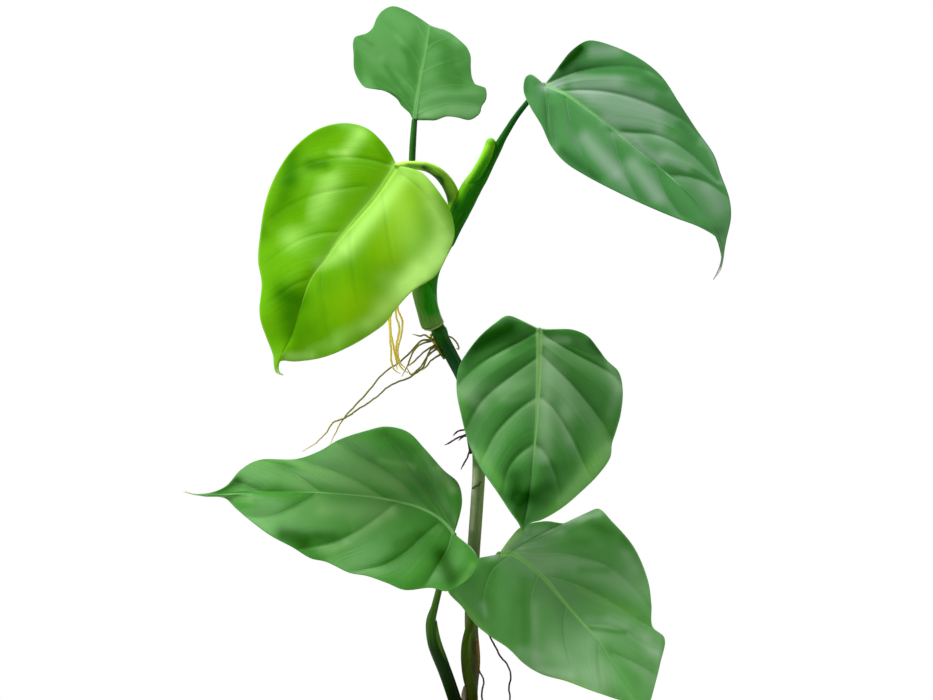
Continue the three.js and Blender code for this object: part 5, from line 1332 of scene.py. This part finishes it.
FLOOR_RADIUS = 620
FLOOR_DEPTH = 12
FLOOR_EDGE_ROUND = 3
FLOOR_CHAMFER = 2
# Places and sizes in metres and power in watts; all are aimed at one place above the floor
LAMP_AIM = (0, 0, 0.38)
LAMPS = {
    "top_diffuser": dict(place=(-0.6, -0.35, 2.2), size=(0.9, 0.9), power=62, colour=(1, 0.99, 0.97)),
    "left_diffuser": dict(place=(-1.9, -0.4, 0.6), size=(1.2, 1.2), power=26, colour=(1, 1, 1)),
    "right_diffuser": dict(place=(1.9, -0.4, 0.8), size=(1.2, 1.2), power=16, colour=(0.97, 0.99, 1)),
    "back_diffuser": dict(place=(0.4, 1.8, 1.0), size=(1.6, 1.2), power=14, colour=(1, 1, 1)),
}
for name, lamp in LAMPS.items():
    light = bpy.data.lights.new(name, "AREA")
    light.shape = "RECTANGLE"
    light.size, light.size_y = lamp["size"]
    light.energy = lamp["power"]
    light.color = lamp["colour"]
    holder = bpy.data.objects.new(name, light)
    holder.location = lamp["place"]
    towards = np.subtract(LAMP_AIM, lamp["place"])
    turn = math.atan2(towards[0], -towards[1])
    dip = math.atan2(math.hypot(*towards[:2]), -towards[2])
    holder.rotation_euler = (dip, 0, turn + math.pi)
    bpy.context.scene.collection.objects.link(holder)

white_room = bpy.data.worlds.new("white_room")
white_room.use_nodes = True
tree = white_room.node_tree
tree.nodes.clear()
seen = add(tree, "LightPath").outputs["Is Camera Ray"]
strength = add(tree, "MapRange", {"Value": seen, "To Min": 0.3, "To Max": 1.0})
sky = add(tree, "Background", {"Color": "#ffffff", "Strength": strength})
add(tree, "OutputWorld", {"Surface": sky})
bpy.context.scene.world = white_room
bpy.context.scene.view_settings.view_transform = "Standard"

# Matte white laminate: even, pale and softly reflecting
laminate, tree = new_material("matte_white_laminate")
spot = add(tree, "TexCoord").outputs["Object"]
stipple = add(tree, "TexNoise", {"Vector": spot, "Scale": 900, "Detail": 2})
bump = add(tree, "Bump", {"Strength": 0.1, "Distance": 0.0002, "Height": stipple})
shader = add(tree, "BsdfPrincipled", {"Base Color": "#e9e9e6", "Roughness": 0.6, "Normal": bump})
add(tree, "OutputMaterial", {"Surface": shader})
floor_profile = [
    (0, -FLOOR_DEPTH), (FLOOR_RADIUS - FLOOR_CHAMFER, -FLOOR_DEPTH),
    (FLOOR_RADIUS, -FLOOR_DEPTH + FLOOR_CHAMFER),
    *arc((FLOOR_RADIUS - FLOOR_EDGE_ROUND, -FLOOR_EDGE_ROUND), FLOOR_EDGE_ROUND, 0, 90),
    (FLOOR_RADIUS / 2, 0), (0, 0),
]
floor = add_mesh("floor", *turned(floor_profile, 180))
floor.data.set_sharp_from_angle(angle=math.radians(30))
floor.data.materials.append(laminate)
